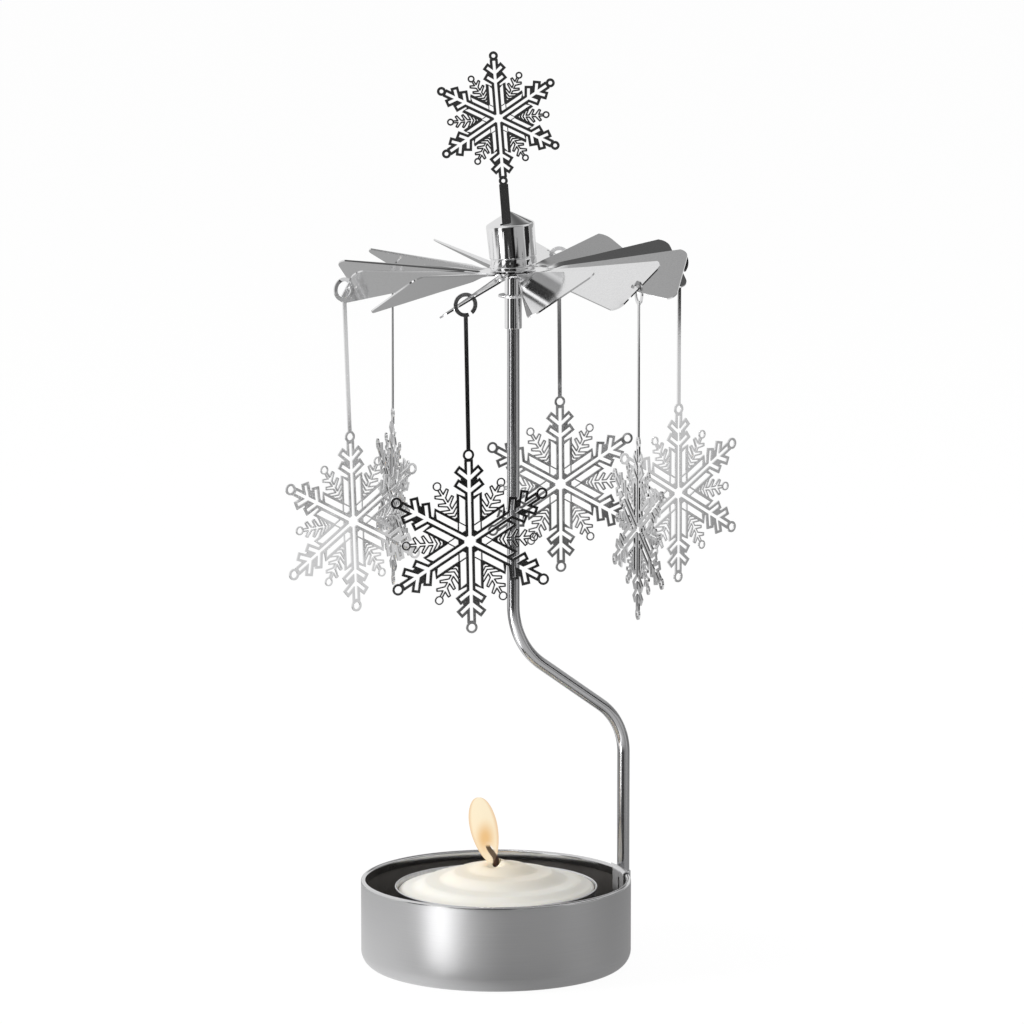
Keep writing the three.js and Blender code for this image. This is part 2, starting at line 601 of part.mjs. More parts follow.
function fanDisc() {
  const neckHole = FERRULE_NECK_DIAMETER / 2 + PRESS_GAP;
  const half = FAN_SHEET / 2;
  let fan = solidOf(revolve([
    [neckHole, -half], [FAN_HUB_RADIUS, -half], [FAN_HUB_RADIUS, half], [neckHole, half],
    [neckHole, -half],
  ], 2 * BLADE_COUNT).rotateZ(bladeAngle(0)));
  for (let i = 0; i < BLADE_COUNT; i += 1) {
    fan = fan.add(solidOf(blade().rotateZ(bladeAngle(i))));
  }
  const holeAt = FAN_RADIUS - HOOK_HOLE_INSET;
  for (const i of hookBlades) {
    const drill = upright(HOOK_HOLE_DIAMETER / 2, -FAN_SHEET * 3, FAN_SHEET * 3, 6)
      .rotateX(rad(BLADE_PITCH_DEG)).translate(holeAt, 0, -bladeDrop(holeAt)).rotateZ(bladeAngle(i));
    fan = fan.subtract(solidOf(drill));
  }
  return geometryOf(fan).translate(PIVOT_OFFSET, 0, FAN_HEIGHT);
}

addToRotor('fan_disc', fanDisc(), METAL.polished, 0.12);

// Snowflake. All its sizes are for a flake of FLAKE_RADIUS; x runs out along an arm, y across it.

const TIP_RING = { outer: 1.08, hole: 0.7 };
const SLOT = { half: 0.35, end: 14.5 };
const ARM_HALF = 0.75;
const STRIP_EDGE = 2.165; // outer edge of the line that runs beside an arm
const STRIP_LINE = 0.33; // width of that line
const STRIP_END = { atArm: 7.6, atEdge: 8.45 };
const UPPER_CHEVRON = { root: 11.3, deg: 50, reach: 2.1 };
const LOWER_CHEVRON = { root: 9.2, deg: 57, reach: 2.2 };
const CHEVRON_HALF = 0.73;
const GUSSET_REACH = 1.3;
const TWIG = { half: 0.33, ringAt: 11.8, ring: 0.82 };
const TWIG_BRANCHES = [{ root: 9.4, tip: [10.3, 1.3] }, { root: 7.1, tip: [7.8, 1.6] }];
const TWIG_BRANCH_HALF = 0.28;
const BISECTOR_HALF = 0.2; // half width of the web between neighbouring windows

/** A point given along and across the line between two arms, in the arm's own directions. */
function fromBisector(along, across) {
  const c = Math.cos(Math.PI / 6);
  const s = Math.sin(Math.PI / 6);
  return [along * c + across * s, along * s - across * c];
}

/** Corners of a chevron bar where it leaves the arm and at its outer end. */
function chevron({ root, deg, reach }) {
  const slope = 1 / Math.tan(rad(deg));
  const halfAlong = CHEVRON_HALF / Math.sin(rad(deg));
  const at = (side, y) => [root + side * halfAlong + y * slope, y];
  return { outer: [at(1, reach), at(-1, reach)], inner: [at(1, ARM_HALF), at(-1, ARM_HALF)], at };
}

/** Outline of half an arm, from beside its tip to the twig between it and the next arm. */
function halfArm(shoulder) {
  const upper = chevron(UPPER_CHEVRON);
  const lower = chevron(LOWER_CHEVRON);
  const ringFoot = Math.sqrt(TIP_RING.outer ** 2 - ARM_HALF ** 2);
  const gussetX = (upper.at(-1, GUSSET_REACH)[0] + lower.at(1, GUSSET_REACH)[0]) / 2;
  const twigFoot = (STRIP_EDGE + TWIG.half * Math.cos(Math.PI / 6)) / Math.sin(Math.PI / 6);
  const twigRingFoot = Math.sqrt(TWIG.ring ** 2 - TWIG.half ** 2);
  const branches = [...TWIG_BRANCHES].reverse().flatMap(({ root, tip }) => [
    fromBisector(root - TWIG_BRANCH_HALF, TWIG.half), fromBisector(...tip),
    fromBisector(root + TWIG_BRANCH_HALF, TWIG.half),
  ]);
  return [
    ...shoulder,
    [FLAKE_RADIUS, TIP_RING.outer],
    [FLAKE_RADIUS - ringFoot, ARM_HALF],
    upper.inner[0], ...upper.outer, [gussetX, GUSSET_REACH], ...lower.outer, lower.inner[1],
    [STRIP_END.atArm, ARM_HALF], [STRIP_END.atEdge, STRIP_EDGE],
    fromBisector(twigFoot, TWIG.half),
    ...branches,
    fromBisector(TWIG.ringAt - twigRingFoot, TWIG.half),
    fromBisector(TWIG.ringAt, TWIG.ring),
    fromBisector(TWIG.ringAt + TWIG.ring, TWIG.half),
  ];
}

/** The window between an arm and the line beside it. */
function stripWindow() {
  const slant = (STRIP_END.atEdge - STRIP_END.atArm) / (STRIP_EDGE - ARM_HALF);
  const top = STRIP_EDGE - STRIP_LINE;
  const end = STRIP_END.atArm - STRIP_LINE;
  const c = Math.cos(Math.PI / 6);
  const onBisector = (y) => ((y + BISECTOR_HALF * c) / 0.5) * c + BISECTOR_HALF / 2;
  return [
    [onBisector(ARM_HALF), ARM_HALF], [end, ARM_HALF],
    [end + (top - ARM_HALF) * slant, top], [onBisector(top), top],
  ];
}

const turned = ([x, y], angle) =>
  [x * Math.cos(angle) - y * Math.sin(angle), x * Math.sin(angle) + y * Math.cos(angle)];
const mirrored = (points) => points.map(([x, y]) => [x, -y]).reverse();

/**
 * A snowflake with one arm up, and a strip leaving one of its tips.
 * The tail gives the strip's further outline in the frame of the arm that carries it.
 */
function snowflake(tailArm, stripHalf, tail) {
  const flatX = FLAKE_RADIUS + TIP_RING.outer * Math.cos(Math.PI / 6);
  const plainShoulder = [[flatX, TIP_RING.outer / 2]];
  const joinShoulder = stripHalf < TIP_RING.outer / 2
    ? [[flatX, stripHalf], ...plainShoulder]
    : [[FLAKE_RADIUS + Math.sqrt(TIP_RING.outer ** 2 - stripHalf ** 2), stripHalf]];
  const outline = [];
  const holes = [];
  const star = [];
  for (let arm = 0; arm < 6; arm += 1) {
    const angle = Math.PI / 2 + (arm * Math.PI) / 3;
    const turn = (points) => points.map((point) => turned(point, angle));
    const half = halfArm(arm === tailArm ? joinShoulder : plainShoulder);
    outline.push(...turn([...mirrored(half), ...(arm === tailArm ? tail : []), ...half]));
    holes.push(turn(polygon(FLAKE_RADIUS, 0, TIP_RING.hole, 6)));
    holes.push(turn(stripWindow()), turn(mirrored(stripWindow())));
    star.push(...turn([[SLOT.end, -SLOT.half], [SLOT.end, SLOT.half], fromBisector(SLOT.half / 0.5, 0)]));
  }
  holes.push(star);
  return { outline, holes };
}

// Charms: flake, strip and open hook ring etched from one sheet

const RING_OUTER = RING_OUTER_DIAMETER / 2;
const RING_INNER = RING_INNER_DIAMETER / 2;

/** The strip and hook ring above the flake's upper tip, in the frame of that arm. */
function hookTail() {
  const [openFrom, openTo] = RING_OPENING_DEG;
  const footDeg = THREE.MathUtils.radToDeg(Math.asin(CHARM_STRIP_WIDTH / RING_OUTER_DIAMETER));
  const inArm = ([x, y]) => [y, -x];
  return [
    ...arc(0, CHARM_DROP, RING_OUTER, footDeg - 90, openFrom, 1),
    ...arc(0, CHARM_DROP, RING_INNER, openFrom + 360, openTo, 8),
    ...arc(0, CHARM_DROP, RING_OUTER, openTo, 270 - footDeg, 8),
  ].map(inArm);
}

function charm() {
  const { outline, holes } = snowflake(0, CHARM_STRIP_WIDTH / 2, hookTail());
  return sheet(outline, holes, ETCHED_SHEET).translate(0, -CHARM_DROP, 0);
}

/**
 * Middle of a hook ring: one leg stands in the blade's hole and the other outside its end. A ring
 * whose plane points outward sinks the most, because it has the narrowest bridge of sheet inside it.
 */
function ringCentre(bladeIndex, along) {
  const hole = FAN_RADIUS - HOOK_HOLE_INSET;
  const onRotor = new THREE.Matrix4().makeTranslation(PIVOT_OFFSET, 0, FAN_HEIGHT - bladeDrop(hole))
    .premultiply(new THREE.Matrix4().makeTranslation(needleTip.clone().negate()))
    .multiply(new THREE.Matrix4().makeRotationZ(bladeAngle(bladeIndex)));
  const frame = rotor.matrixWorld.clone().multiply(onRotor);
  const out = new THREE.Vector3(1, 0, 0).transformDirection(frame);
  const pitch = rad(BLADE_PITCH_DEG);
  const normal = new THREE.Vector3(0, -Math.sin(pitch), Math.cos(pitch)).transformDirection(frame);
  const outward = along.clone().multiplyScalar(Math.sign(along.dot(out)));
  const rise = RING_SEAT_RISE * outward.dot(out);
  const slope = -outward.dot(normal) / normal.z; // of the sheet, in the ring's plane
  const middle = (RING_OUTER + RING_INNER) / 2;
  const legReach = (slope * rise + Math.sqrt(middle ** 2 * (1 + slope ** 2) - rise ** 2)) / (1 + slope ** 2);
  return new THREE.Vector3(hole, 0, 0).applyMatrix4(frame)
    .addScaledVector(outward, legReach).add(new THREE.Vector3(0, 0, slope * legReach - rise));
}

rotor.updateMatrixWorld();
hookBlades.forEach((bladeIndex, i) => {
  const yaw = rad(CHARM_YAWS_DEG[i]);
  const along = new THREE.Vector3(Math.cos(yaw), Math.sin(yaw), 0);
  const up = new THREE.Vector3(0, 0, 1);
  const piece = addPiece(`charm_${i + 1}`, charm(), METAL.polished, 0.25);
  const normal = along.clone().cross(up);
  piece.setRotationFromMatrix(new THREE.Matrix4().makeBasis(along, up, normal)
    .premultiply(new THREE.Matrix4().makeRotationAxis(normal, rad(CHARM_LEANS_DEG[i]))));
  piece.position.copy(ringCentre(bladeIndex, along));
});

// Topper: the same flake, smaller, on a strip that goes down through the slit in the cap's roof

function topper() {
  const length = (CAP_APEX - ROOF_EDGE_HEIGHT + TOPPER_CENTRE_ABOVE_CAP) / Math.cos(rad(TOPPER_LEAN_DEG));
  const stripEnd = (length + ROOF_EDGE_HEIGHT - SPIGOT_TOP - SEAT_GAP) / TOPPER_SCALE;
  const half = TOPPER_STRIP_WIDTH / 2 / TOPPER_SCALE;
  const { outline, holes } = snowflake(3, half, [[stripEnd, -half], [stripEnd, half]]);
  const shrink = (points) => points.map(([x, y]) => [x * TOPPER_SCALE, y * TOPPER_SCALE]);
  return sheet(shrink(outline), holes.map(shrink), ETCHED_SHEET)
    .rotateX(Math.PI / 2).translate(0, 0, length).rotateY(-rad(TOPPER_LEAN_DEG))
    .translate(PIVOT_OFFSET - TOPPER_SIDE, -TOPPER_FORWARD, ROOF_EDGE_HEIGHT);
}

addToRotor('topper_snowflake', topper(), METAL.polished, 0.25);

export default holder;
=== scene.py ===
"""Dressed model of a rotating tealight holder with snowflake charms, in the frame of its CAD model."""

import json
import logging
import math
from dataclasses import dataclass, field
from enum import Enum
from typing import Any, Callable, Sequence

import bmesh
import bpy
import numpy as np
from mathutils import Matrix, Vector
from mathutils.geometry import delaunay_2d_cdt


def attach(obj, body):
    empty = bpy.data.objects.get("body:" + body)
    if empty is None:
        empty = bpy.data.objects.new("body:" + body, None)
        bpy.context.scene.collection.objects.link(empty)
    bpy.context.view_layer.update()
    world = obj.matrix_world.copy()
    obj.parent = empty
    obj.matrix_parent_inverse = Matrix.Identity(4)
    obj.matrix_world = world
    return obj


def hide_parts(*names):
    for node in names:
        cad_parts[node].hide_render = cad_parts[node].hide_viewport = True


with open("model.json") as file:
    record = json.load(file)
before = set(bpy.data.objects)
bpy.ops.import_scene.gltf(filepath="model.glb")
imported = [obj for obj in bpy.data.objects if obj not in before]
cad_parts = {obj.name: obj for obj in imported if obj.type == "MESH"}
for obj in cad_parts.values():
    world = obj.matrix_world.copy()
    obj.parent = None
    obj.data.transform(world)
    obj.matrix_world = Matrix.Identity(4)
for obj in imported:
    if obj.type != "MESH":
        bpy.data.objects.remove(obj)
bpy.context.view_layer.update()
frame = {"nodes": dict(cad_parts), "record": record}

log = logging.getLogger("holder")

MM = 0.001
TAU = 2 * math.pi
UV_NAME = "along"

Array = np.ndarray
Colour = tuple[float, float, float]


class Slot(Enum):
    """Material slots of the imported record."""

    CUP = "satin_cup"
    POLISHED = "polished_metal"
    WIRE = "wire"
    ETCHED = "etched_sheet"
    FOIL = "tealight_foil"
    WAX = "wax"
    WICK = "wick"


class Body(Enum):
    """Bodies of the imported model."""

    STAND = "stand"
    ROTOR = "rotor"
    TEALIGHT = "tealight"


# Shader maths


def math_method(operation: str) -> Callable[..., "Signal"]:
    """A method for Signal that adds one Math node.

    Args:
        operation: The node's operation.

    Returns:
        The method. Its arguments are the node's second and third inputs.
    """

    def method(self: "Signal", *others: Any) -> "Signal":
        """Adds the node and wraps its output."""
        values = [value.socket if isinstance(value, Signal) else value for value in (self, *others)]
        node = self.maker.node("ShaderNodeMath", {"operation": operation}, dict(enumerate(values)))
        return Signal(self.maker, node.outputs[0])

    return method


class Signal:
    """A number-valued socket with the usual operators, each of which adds one Math node."""

    __add__ = __radd__ = math_method("ADD")
    __mul__ = __rmul__ = math_method("MULTIPLY")
    __sub__ = math_method("SUBTRACT")
    __truediv__ = math_method("DIVIDE")
    power = math_method("POWER")
    sine = math_method("SINE")
    absolute = math_method("ABSOLUTE")
    arctan2 = math_method("ARCTAN2")
    root = math_method("SQRT")
    lesser = math_method("MINIMUM")
    greater = math_method("MAXIMUM")

    def __init__(self, maker: "NodeMaker", socket: Any) -> None:
        """Wraps a socket.

        Args:
            maker: The material or world that the socket belongs to.
            socket: An output socket, or a plain number.
        """
        self.maker = maker
        self.socket = socket

    def __rsub__(self, other: Any) -> "Signal":
        """Difference, reflected."""
        return Signal(self.maker, other) - self

    def ramp(self, low: float, high: float) -> "Signal":
        """This value eased from 0 at low to 1 at high."""
        node = self.maker.node("ShaderNodeMapRange", {"interpolation_type": "SMOOTHSTEP"},
                               {"Value": self.socket, "From Min": low, "From Max": high})
        return Signal(self.maker, node.outputs[0])

    def between(self, low: float, full: float, falling: float, high: float) -> "Signal":
        """1 from full to falling, eased to 0 at low and at high."""
        return self.ramp(low, full) * (1 - self.ramp(falling, high))


class NodeMaker:
    """Adds nodes to the tree of a material or of the world."""

    def __init__(self, owner: bpy.types.ID) -> None:
        """Clears the owner's tree.

        Args:
            owner: The material or world.
        """
        owner.use_nodes = True
        self.tree = owner.node_tree
        self.tree.nodes.clear()

    def node(self, kind: str, settings: dict | None = None, inputs: dict | None = None) -> Any:
        """Adds a node, sets its settings and then its sockets.

        Args:
            kind: The node's type.
            settings: Attributes set first, with a ramp's stops under "stops".
            inputs: Socket name or index to a value, a socket or a Signal.

        Returns:
            The node.
        """
        made = self.tree.nodes.new(kind)
        for key, value in (settings or {}).items():
            if key == "stops":
                ramp = made.color_ramp
                while len(ramp.elements) < len(value):
                    ramp.elements.new(0.5)
                for element, (place, colour) in zip(ramp.elements, value):
                    element.position = place
                    element.color = (*colour, 1)
            else:
                setattr(made, key, value)
        for key, value in (inputs or {}).items():
            self.feed(made.inputs[key], value)
        return made

    def feed(self, socket: Any, value: Any) -> None:
        """Links or sets one input socket.

        Args:
            socket: The input.
            value: A Signal, an output socket, or a plain value.
        """
        value = value.socket if isinstance(value, Signal) else value
        if isinstance(value, bpy.types.NodeSocket):
            self.tree.links.new(value, socket)
        else:
            socket.default_value = value

    def signal(self, socket: Any) -> Signal:
        """Wraps an output socket."""
        return Signal(self, socket)

    def split(self, vector: Any) -> tuple[Signal, ...]:
        """The three parts of a vector socket."""
        made = self.node("ShaderNodeSeparateXYZ", inputs={0: vector})
        return tuple(self.signal(out) for out in made.outputs)

    def rays(self) -> tuple[Signal, Signal]:
        """Whether a ray comes from the eye, and whether from a mirror or through glass.

        Returns:
            Two values of 0 or 1.
        """
        path = self.node("ShaderNodeLightPath")
        eye, mirror, through = (self.signal(path.outputs[name]) for name in (
            "Is Camera Ray", "Is Glossy Ray", "Is Transmission Ray"))
        return eye, mirror.greater(through)

    def emission(self, strength: Any) -> Any:
        """A white light's shader socket."""
        return self.node("ShaderNodeEmission", inputs={"Color": (1, 1, 1, 1), "Strength": strength}).outputs[0]


class MaterialMaker(NodeMaker):
    """Builds one node material round a Principled shader."""

    def __init__(self, name: str) -> None:
        """Starts an empty material with a Principled shader.

        Args:
            name: The material's name.
        """
        self.material = bpy.data.materials.new(name)
        super().__init__(self.material)
        self.output = self.node("ShaderNodeOutputMaterial")
        self.shader = self.node("ShaderNodeBsdfPrincipled")
        self.surface(self.shader.outputs[0])

    def surface(self, socket: Any) -> None:
        """Makes a shader socket the material's surface."""
        self.tree.links.new(socket, self.output.inputs["Surface"])

    def place(self) -> tuple[Signal, ...]:
        """Object coordinates in millimetres.

        Returns:
            X, Y and Z.
        """
        coordinates = self.node("ShaderNodeTexCoord")
        return tuple(part * (1 / MM) for part in self.split(coordinates.outputs["Object"]))

    def wound(self) -> tuple[Signal, Signal]:
        """Place on a tube, from its UV map.

        Returns:
            Millimetres along it and share of the way round it.
        """
        uv = self.node("ShaderNodeUVMap", {"uv_map": UV_NAME})
        return self.split(uv.outputs[0])[:2]

    def noise(self, x: Any, y: Any, z: Any, scale: float, detail: float = 3.0) -> Signal:
        """Noise over a point.

        Args:
            x, y, z: The point.
            scale: The noise's scale.
            detail: Its octaves.

        Returns:
            Values from 0 to 1.
        """
        point = self.node("ShaderNodeCombineXYZ", inputs={0: x, 1: y, 2: z})
        made = self.node("ShaderNodeTexNoise", {"noise_dimensions": "3D"},
                         {"Vector": point.outputs[0], "Scale": scale, "Detail": detail})
        return self.signal(made.outputs["Fac"])

    def blend(self, share: Any, low: Any, high: Any) -> Any:
        """A colour between two others.

        Args:
            share: 0 gives low and 1 gives high.
            low: The first, a colour or a colour socket.
            high: The second.

        Returns:
            A colour socket.
        """
        made = self.node("ShaderNodeMix", {"data_type": "RGBA"})
        self.feed(made.inputs[0], share)
        for index, value in ((6, low), (7, high)):
            self.feed(made.inputs[index], (*value, 1) if isinstance(value, tuple) else value)
        return made.outputs[2]

    def bump(self, height: Any, distance: float, strength: float = 1.0) -> None:
        """Feeds the shader's normal from a height.

        Args:
            height: Height from 0 to 1.
            distance: Millimetres that a height of 1 stands for.
            strength: Strength of the effect.
        """
        made = self.node("ShaderNodeBump", inputs={
            "Height": height, "Distance": distance * MM, "Strength": strength})
        self.feed(self.shader.inputs["Normal"], made.outputs[0])

    def finish(self, **values: Any) -> bpy.types.Material:
        """Sets the shader's sockets, named with underscores for spaces.

        Returns:
            The material.
        """
        for name, value in values.items():
            socket = self.shader.inputs[name.replace("_", " ")]
            self.feed(socket, (*value, 1) if socket.type == "RGBA" and isinstance(value, tuple) else value)
        return self.material


# Finishes


def dim(colour: Colour, share: float) -> Colour:
    """A colour at a share of its level."""
    return tuple(share * c for c in colour)


@dataclass(frozen=True)
class PolishedPlate:
    """Bright nickel plate with faint polishing haze."""

    name: str = "polished_plate"
    colour: Colour = (0.90, 0.90, 0.905)
    gloss: float = 0.05
    haze: float = 0.04
    ripple: float = 0.004
    metal: float = 1.0

    def make(self) -> bpy.types.Material:
        """Builds the material: haze and a very low ripple from two noises.

        Returns:
            The material.
        """
        maker = MaterialMaker(self.name)
        x, y, z = maker.place()
        haze = maker.noise(x, y, z, 0.35, 4)
        shade = maker.blend(haze, dim(self.colour, 0.94), self.colour)
        maker.bump(maker.noise(x, y, z, 1.1, 2), self.ripple)
        return maker.finish(Base_Color=shade, Metallic=self.metal,
                            Roughness=haze.ramp(0.35, 0.75) * self.haze + self.gloss)


@dataclass(frozen=True)
class SatinCup:
    """Drawn steel brushed round its wall, with painted shade on its inside, and a polished folded rim."""

    name: str = "satin_steel"
    colour: Colour = (0.66, 0.66, 0.665)
    rim_height: float = 15.9
    hem_height: float = 14.4
    hem_radius: float = 24.35
    inner_radius: tuple[float, float] = (24.65, 24.8)
    inner_floor: tuple[float, float] = (2.9, 3.3)
    streak: Colour = (0.50, 0.50, 0.505)
    # painted shade: a dark and a lighter colour for the inside of the cup
    painted_inside_shade: tuple[Colour, Colour] = ((0.20, 0.185, 0.175), (0.42, 0.405, 0.39))
    rim_colour: Colour = (0.70, 0.70, 0.705)

    def make(self) -> bpy.types.Material:
        """Builds the material: fine lines that run round the wall, cloudy wear, and painted shade on the inside.

        Returns:
            The material.
        """
        maker = MaterialMaker(self.name)
        x, y, z = maker.place()
        angle = y.arctan2(x)
        radius = (x * x + y * y).root()
        lines = maker.noise(angle * 1.6, z * 9.0, radius * 0.4, 1.0, 5)
        fine = maker.noise(angle * 5.0, z * 26.0, radius * 2.0, 1.0, 3)
        clouds = maker.noise(x, y, z * 0.6, 0.12, 3)
        # mask of the inside wall and floor, where shade is painted
        inside = (1 - radius.ramp(*self.inner_radius)) * z.ramp(*self.inner_floor)
        hem = (1 - radius.ramp(self.hem_radius - 0.1, self.hem_radius + 0.1)) * z.ramp(
            self.hem_height, self.hem_height + 0.1)
        rim = z.ramp(self.rim_height - 0.15, self.rim_height + 0.1).greater(hem)
        shade = maker.blend(clouds.ramp(0.3, 0.7), dim(self.colour, 0.93), self.colour)
        shade = maker.blend(lines.ramp(0.25, 0.8) * 0.4, self.streak, shade)
        rough = 0.44 + lines.ramp(0.3, 0.7) * 0.08 + clouds * 0.06
        maker.bump(lines * 0.6 + fine * 0.4, 0.016, 0.5)
        # painted shade: the inside takes darker, mottled colours in place of the steel's own
        shade = maker.blend(inside, shade, maker.blend(clouds, *self.painted_inside_shade))
        return maker.finish(Base_Color=maker.blend(rim, shade, self.rim_colour), Metallic=1.0,
                            Roughness=rough * (1 - rim * 0.78), Anisotropic=0.6, Anisotropic_Rotation=0.25)


@dataclass(frozen=True)
class DrawnWire:
    """Bright drawn wire with lines along it."""

    name: str = "drawn_wire"
    colour: Colour = (0.54, 0.54, 0.55)

    def make(self) -> bpy.types.Material:
        """Builds the material: draw lines follow the wire through its own UV map.

        Returns:
            The material.
        """
        maker = MaterialMaker(self.name)
        along, around = maker.wound()
        lines = maker.noise(along * 3.0, around * 24.0, 0.0, 1.0, 4)
        shade = maker.blend(lines.ramp(0.3, 0.75), dim(self.colour, 0.88), self.colour)
        maker.bump(lines, 0.006, 0.3)
        return maker.finish(Base_Color=shade, Metallic=1.0, Roughness=lines * 0.06 + 0.12)


@dataclass(frozen=True)
class EtchedPlate:
    """Thin etched and plated sheet."""

    name: str = "etched_plate"
    colour: Colour = (0.86, 0.86, 0.865)
    gloss: float = 0.07

    def make(self) -> bpy.types.Material:
        """Builds the material: a little grain from rolling and plating.

        Returns:
            The material.
        """
        maker = MaterialMaker(self.name)
        x, y, z = maker.place()
        grain = maker.noise(x, y, z, 3.0, 4)
        shade = maker.blend(grain.ramp(0.3, 0.7), dim(self.colour, 0.93), self.colour)
        maker.bump(grain, 0.004, 0.4)
        return maker.finish(Base_Color=shade, Metallic=1.0, Roughness=grain * 0.05 + self.gloss)


@dataclass(frozen=True)
class DrawnFoil:
    """Aluminium foil of a tealight's shell."""

    name: str = "drawn_foil"
    colour: Colour = (0.80, 0.80, 0.81)

    def make(self) -> bpy.types.Material:
        """Builds the material: upright draw marks round the shell.

        Returns:
            The material.
        """
        maker = MaterialMaker(self.name)
        x, y, z = maker.place()
        marks = maker.noise(y.arctan2(x) * 30.0, z * 0.25, 0.0, 1.0, 3)
        shade = maker.blend(marks.ramp(0.3, 0.7), dim(self.colour, 0.9), self.colour)
        maker.bump(marks, 0.03, 0.5)
        return maker.finish(Base_Color=shade, Metallic=1.0, Roughness=marks * 0.12 + 0.26)


@dataclass(frozen=True)
class IvoryWax:
    """Paraffin wax, ivory, with a soft sheen."""

    name: str = "ivory_wax"
    colour: Colour = (0.93, 0.91, 0.84)
    # painted light: the flame's warm glow on the wax, within the reach below
    painted_flame_light: Colour = (0.91, 0.83, 0.68)
    painted_flame_light_reach: tuple[float, float] = (2.0, 15.0)

    def make(self) -> bpy.types.Material:
        """Builds the material: slight clouding, and painted warm light from the flame near the wick.

        Returns:
            The material.
        """
        maker = MaterialMaker(self.name)
        x, y, z = maker.place()
        clouds = maker.noise(x, y, z, 0.18, 3)
        shade = maker.blend(clouds.ramp(0.3, 0.7), dim(self.colour, 0.975), self.colour)
        # painted light from the flame: a warmer colour that fades out from the wick
        shade = maker.blend((x * x + y * y).root().ramp(*self.painted_flame_light_reach), self.painted_flame_light, shade)
        maker.bump(maker.noise(x, y, z, 0.9, 3), 0.03, 0.4)
        return maker.finish(Base_Color=shade, Roughness=clouds * 0.1 + 0.42, Subsurface_Weight=0.2,
                            Subsurface_Scale=0.002, Subsurface_Radius=(1.0, 0.8, 0.5), IOR=1.44)


@dataclass(frozen=True)
class CharredWick:
    """Braided cotton, charred towards its end."""

    name: str = "charred_wick"
    wax_top: float = 19.7
    colours: tuple[Colour, Colour] = ((0.06, 0.028, 0.018), (0.02, 0.013, 0.012))

    def make(self) -> bpy.types.Material:
        """Builds the material: brown cotton that darkens upwards, with a braid in its bump.

        Returns:
            The material.
        """
        maker = MaterialMaker(self.name)
        along, around = maker.wound()
        braid = ((along * 9.0 + around * TAU * 2).sine() * (along * 9.0 - around * TAU * 2).sine()).absolute()
        _, _, z = maker.place()
        char = z.ramp(self.wax_top - 0.2, self.wax_top + 4.2)
        shade = maker.blend(char, *self.colours)
        maker.bump(braid, 0.08, 0.8)
        return maker.finish(Base_Color=shade, Roughness=0.85 - braid * 0.15)


@dataclass(frozen=True)
class FlameForm:
    """Form of the flame: a blunt drop that leans to the left, over its height from 0 to 1.

    Its radius is girth * sin(pi * t ** belly) ** bluntness, and its middle lies offset + lean * t ** curve
    to the left.
    """

    bottom: float = 19.0
    height: float = 12.45
    girth: float = 2.6
    belly: float = 1.23
    bluntness: float = 0.42
    offset: float = 0.7
    lean: float = 2.45
    curve: float = 0.75
    depth: float = 0.85


@dataclass(frozen=True)
class FlameGlow:
    """Candle flame: cream with a peach edge, an orange heart low down and a clearer foot round the wick."""

    name: str = "flame_glow"
    form: FlameForm = FlameForm()
    heart: tuple[float, float] = (-2.0, 24.2)
    heart_reach: tuple[float, float] = (0.2, 2.1)
    lower: Colour = (0.95, 0.79, 0.55)
    upper: Colour = (0.94, 0.82, 0.60)
    heart_colour: Colour = (0.80, 0.47, 0.17)
    edge_colour: Colour = (0.78, 0.52, 0.30)
    clear_below: tuple[float, float] = (22.4, 23.0)

    def make(self) -> bpy.types.Material:
        """Builds the material: the flame's own outline gives its edge, a distance gives its heart.

        Returns:
            The material.
        """
        maker = MaterialMaker(self.name)
        x, _, z = maker.place()
        form = self.form
        t = ((z - form.bottom) * (1 / form.height)).greater(0.001).lesser(0.999)
        reach = (t.power(form.belly) * math.pi).sine().greater(0.001).power(form.bluntness) * form.girth
        off = (x + form.offset + t.power(form.curve) * form.lean).absolute() / reach
        dx, dz = (x - self.heart[0]) * 0.9, (z - self.heart[1]) * 0.5
        heart = 1 - (dx * dx + dz * dz).root().ramp(*self.heart_reach)
        body = maker.blend(z.ramp(21.0, 30.0), self.lower, self.upper)
        body = maker.blend(heart * 0.85, body, self.heart_colour)
        body = maker.blend(off.ramp(0.72, 1.0) * 0.75, body, self.edge_colour)
        wick = (x + (z - 19.9).greater(0.0) * 0.52).absolute()
        clear = (1 - wick.ramp(0.4, 0.8)) * (1 - z.ramp(*self.clear_below))
        return maker.finish(Base_Color=(0.05, 0.04, 0.03), Roughness=0.9, Specular_IOR_Level=0.0,
                            Emission_Color=body, Emission_Strength=1.0,
                            Alpha=(0.8 + z.ramp(21.0, 25.0) * 0.15) * (1 - clear * 0.9))


# Mesh building


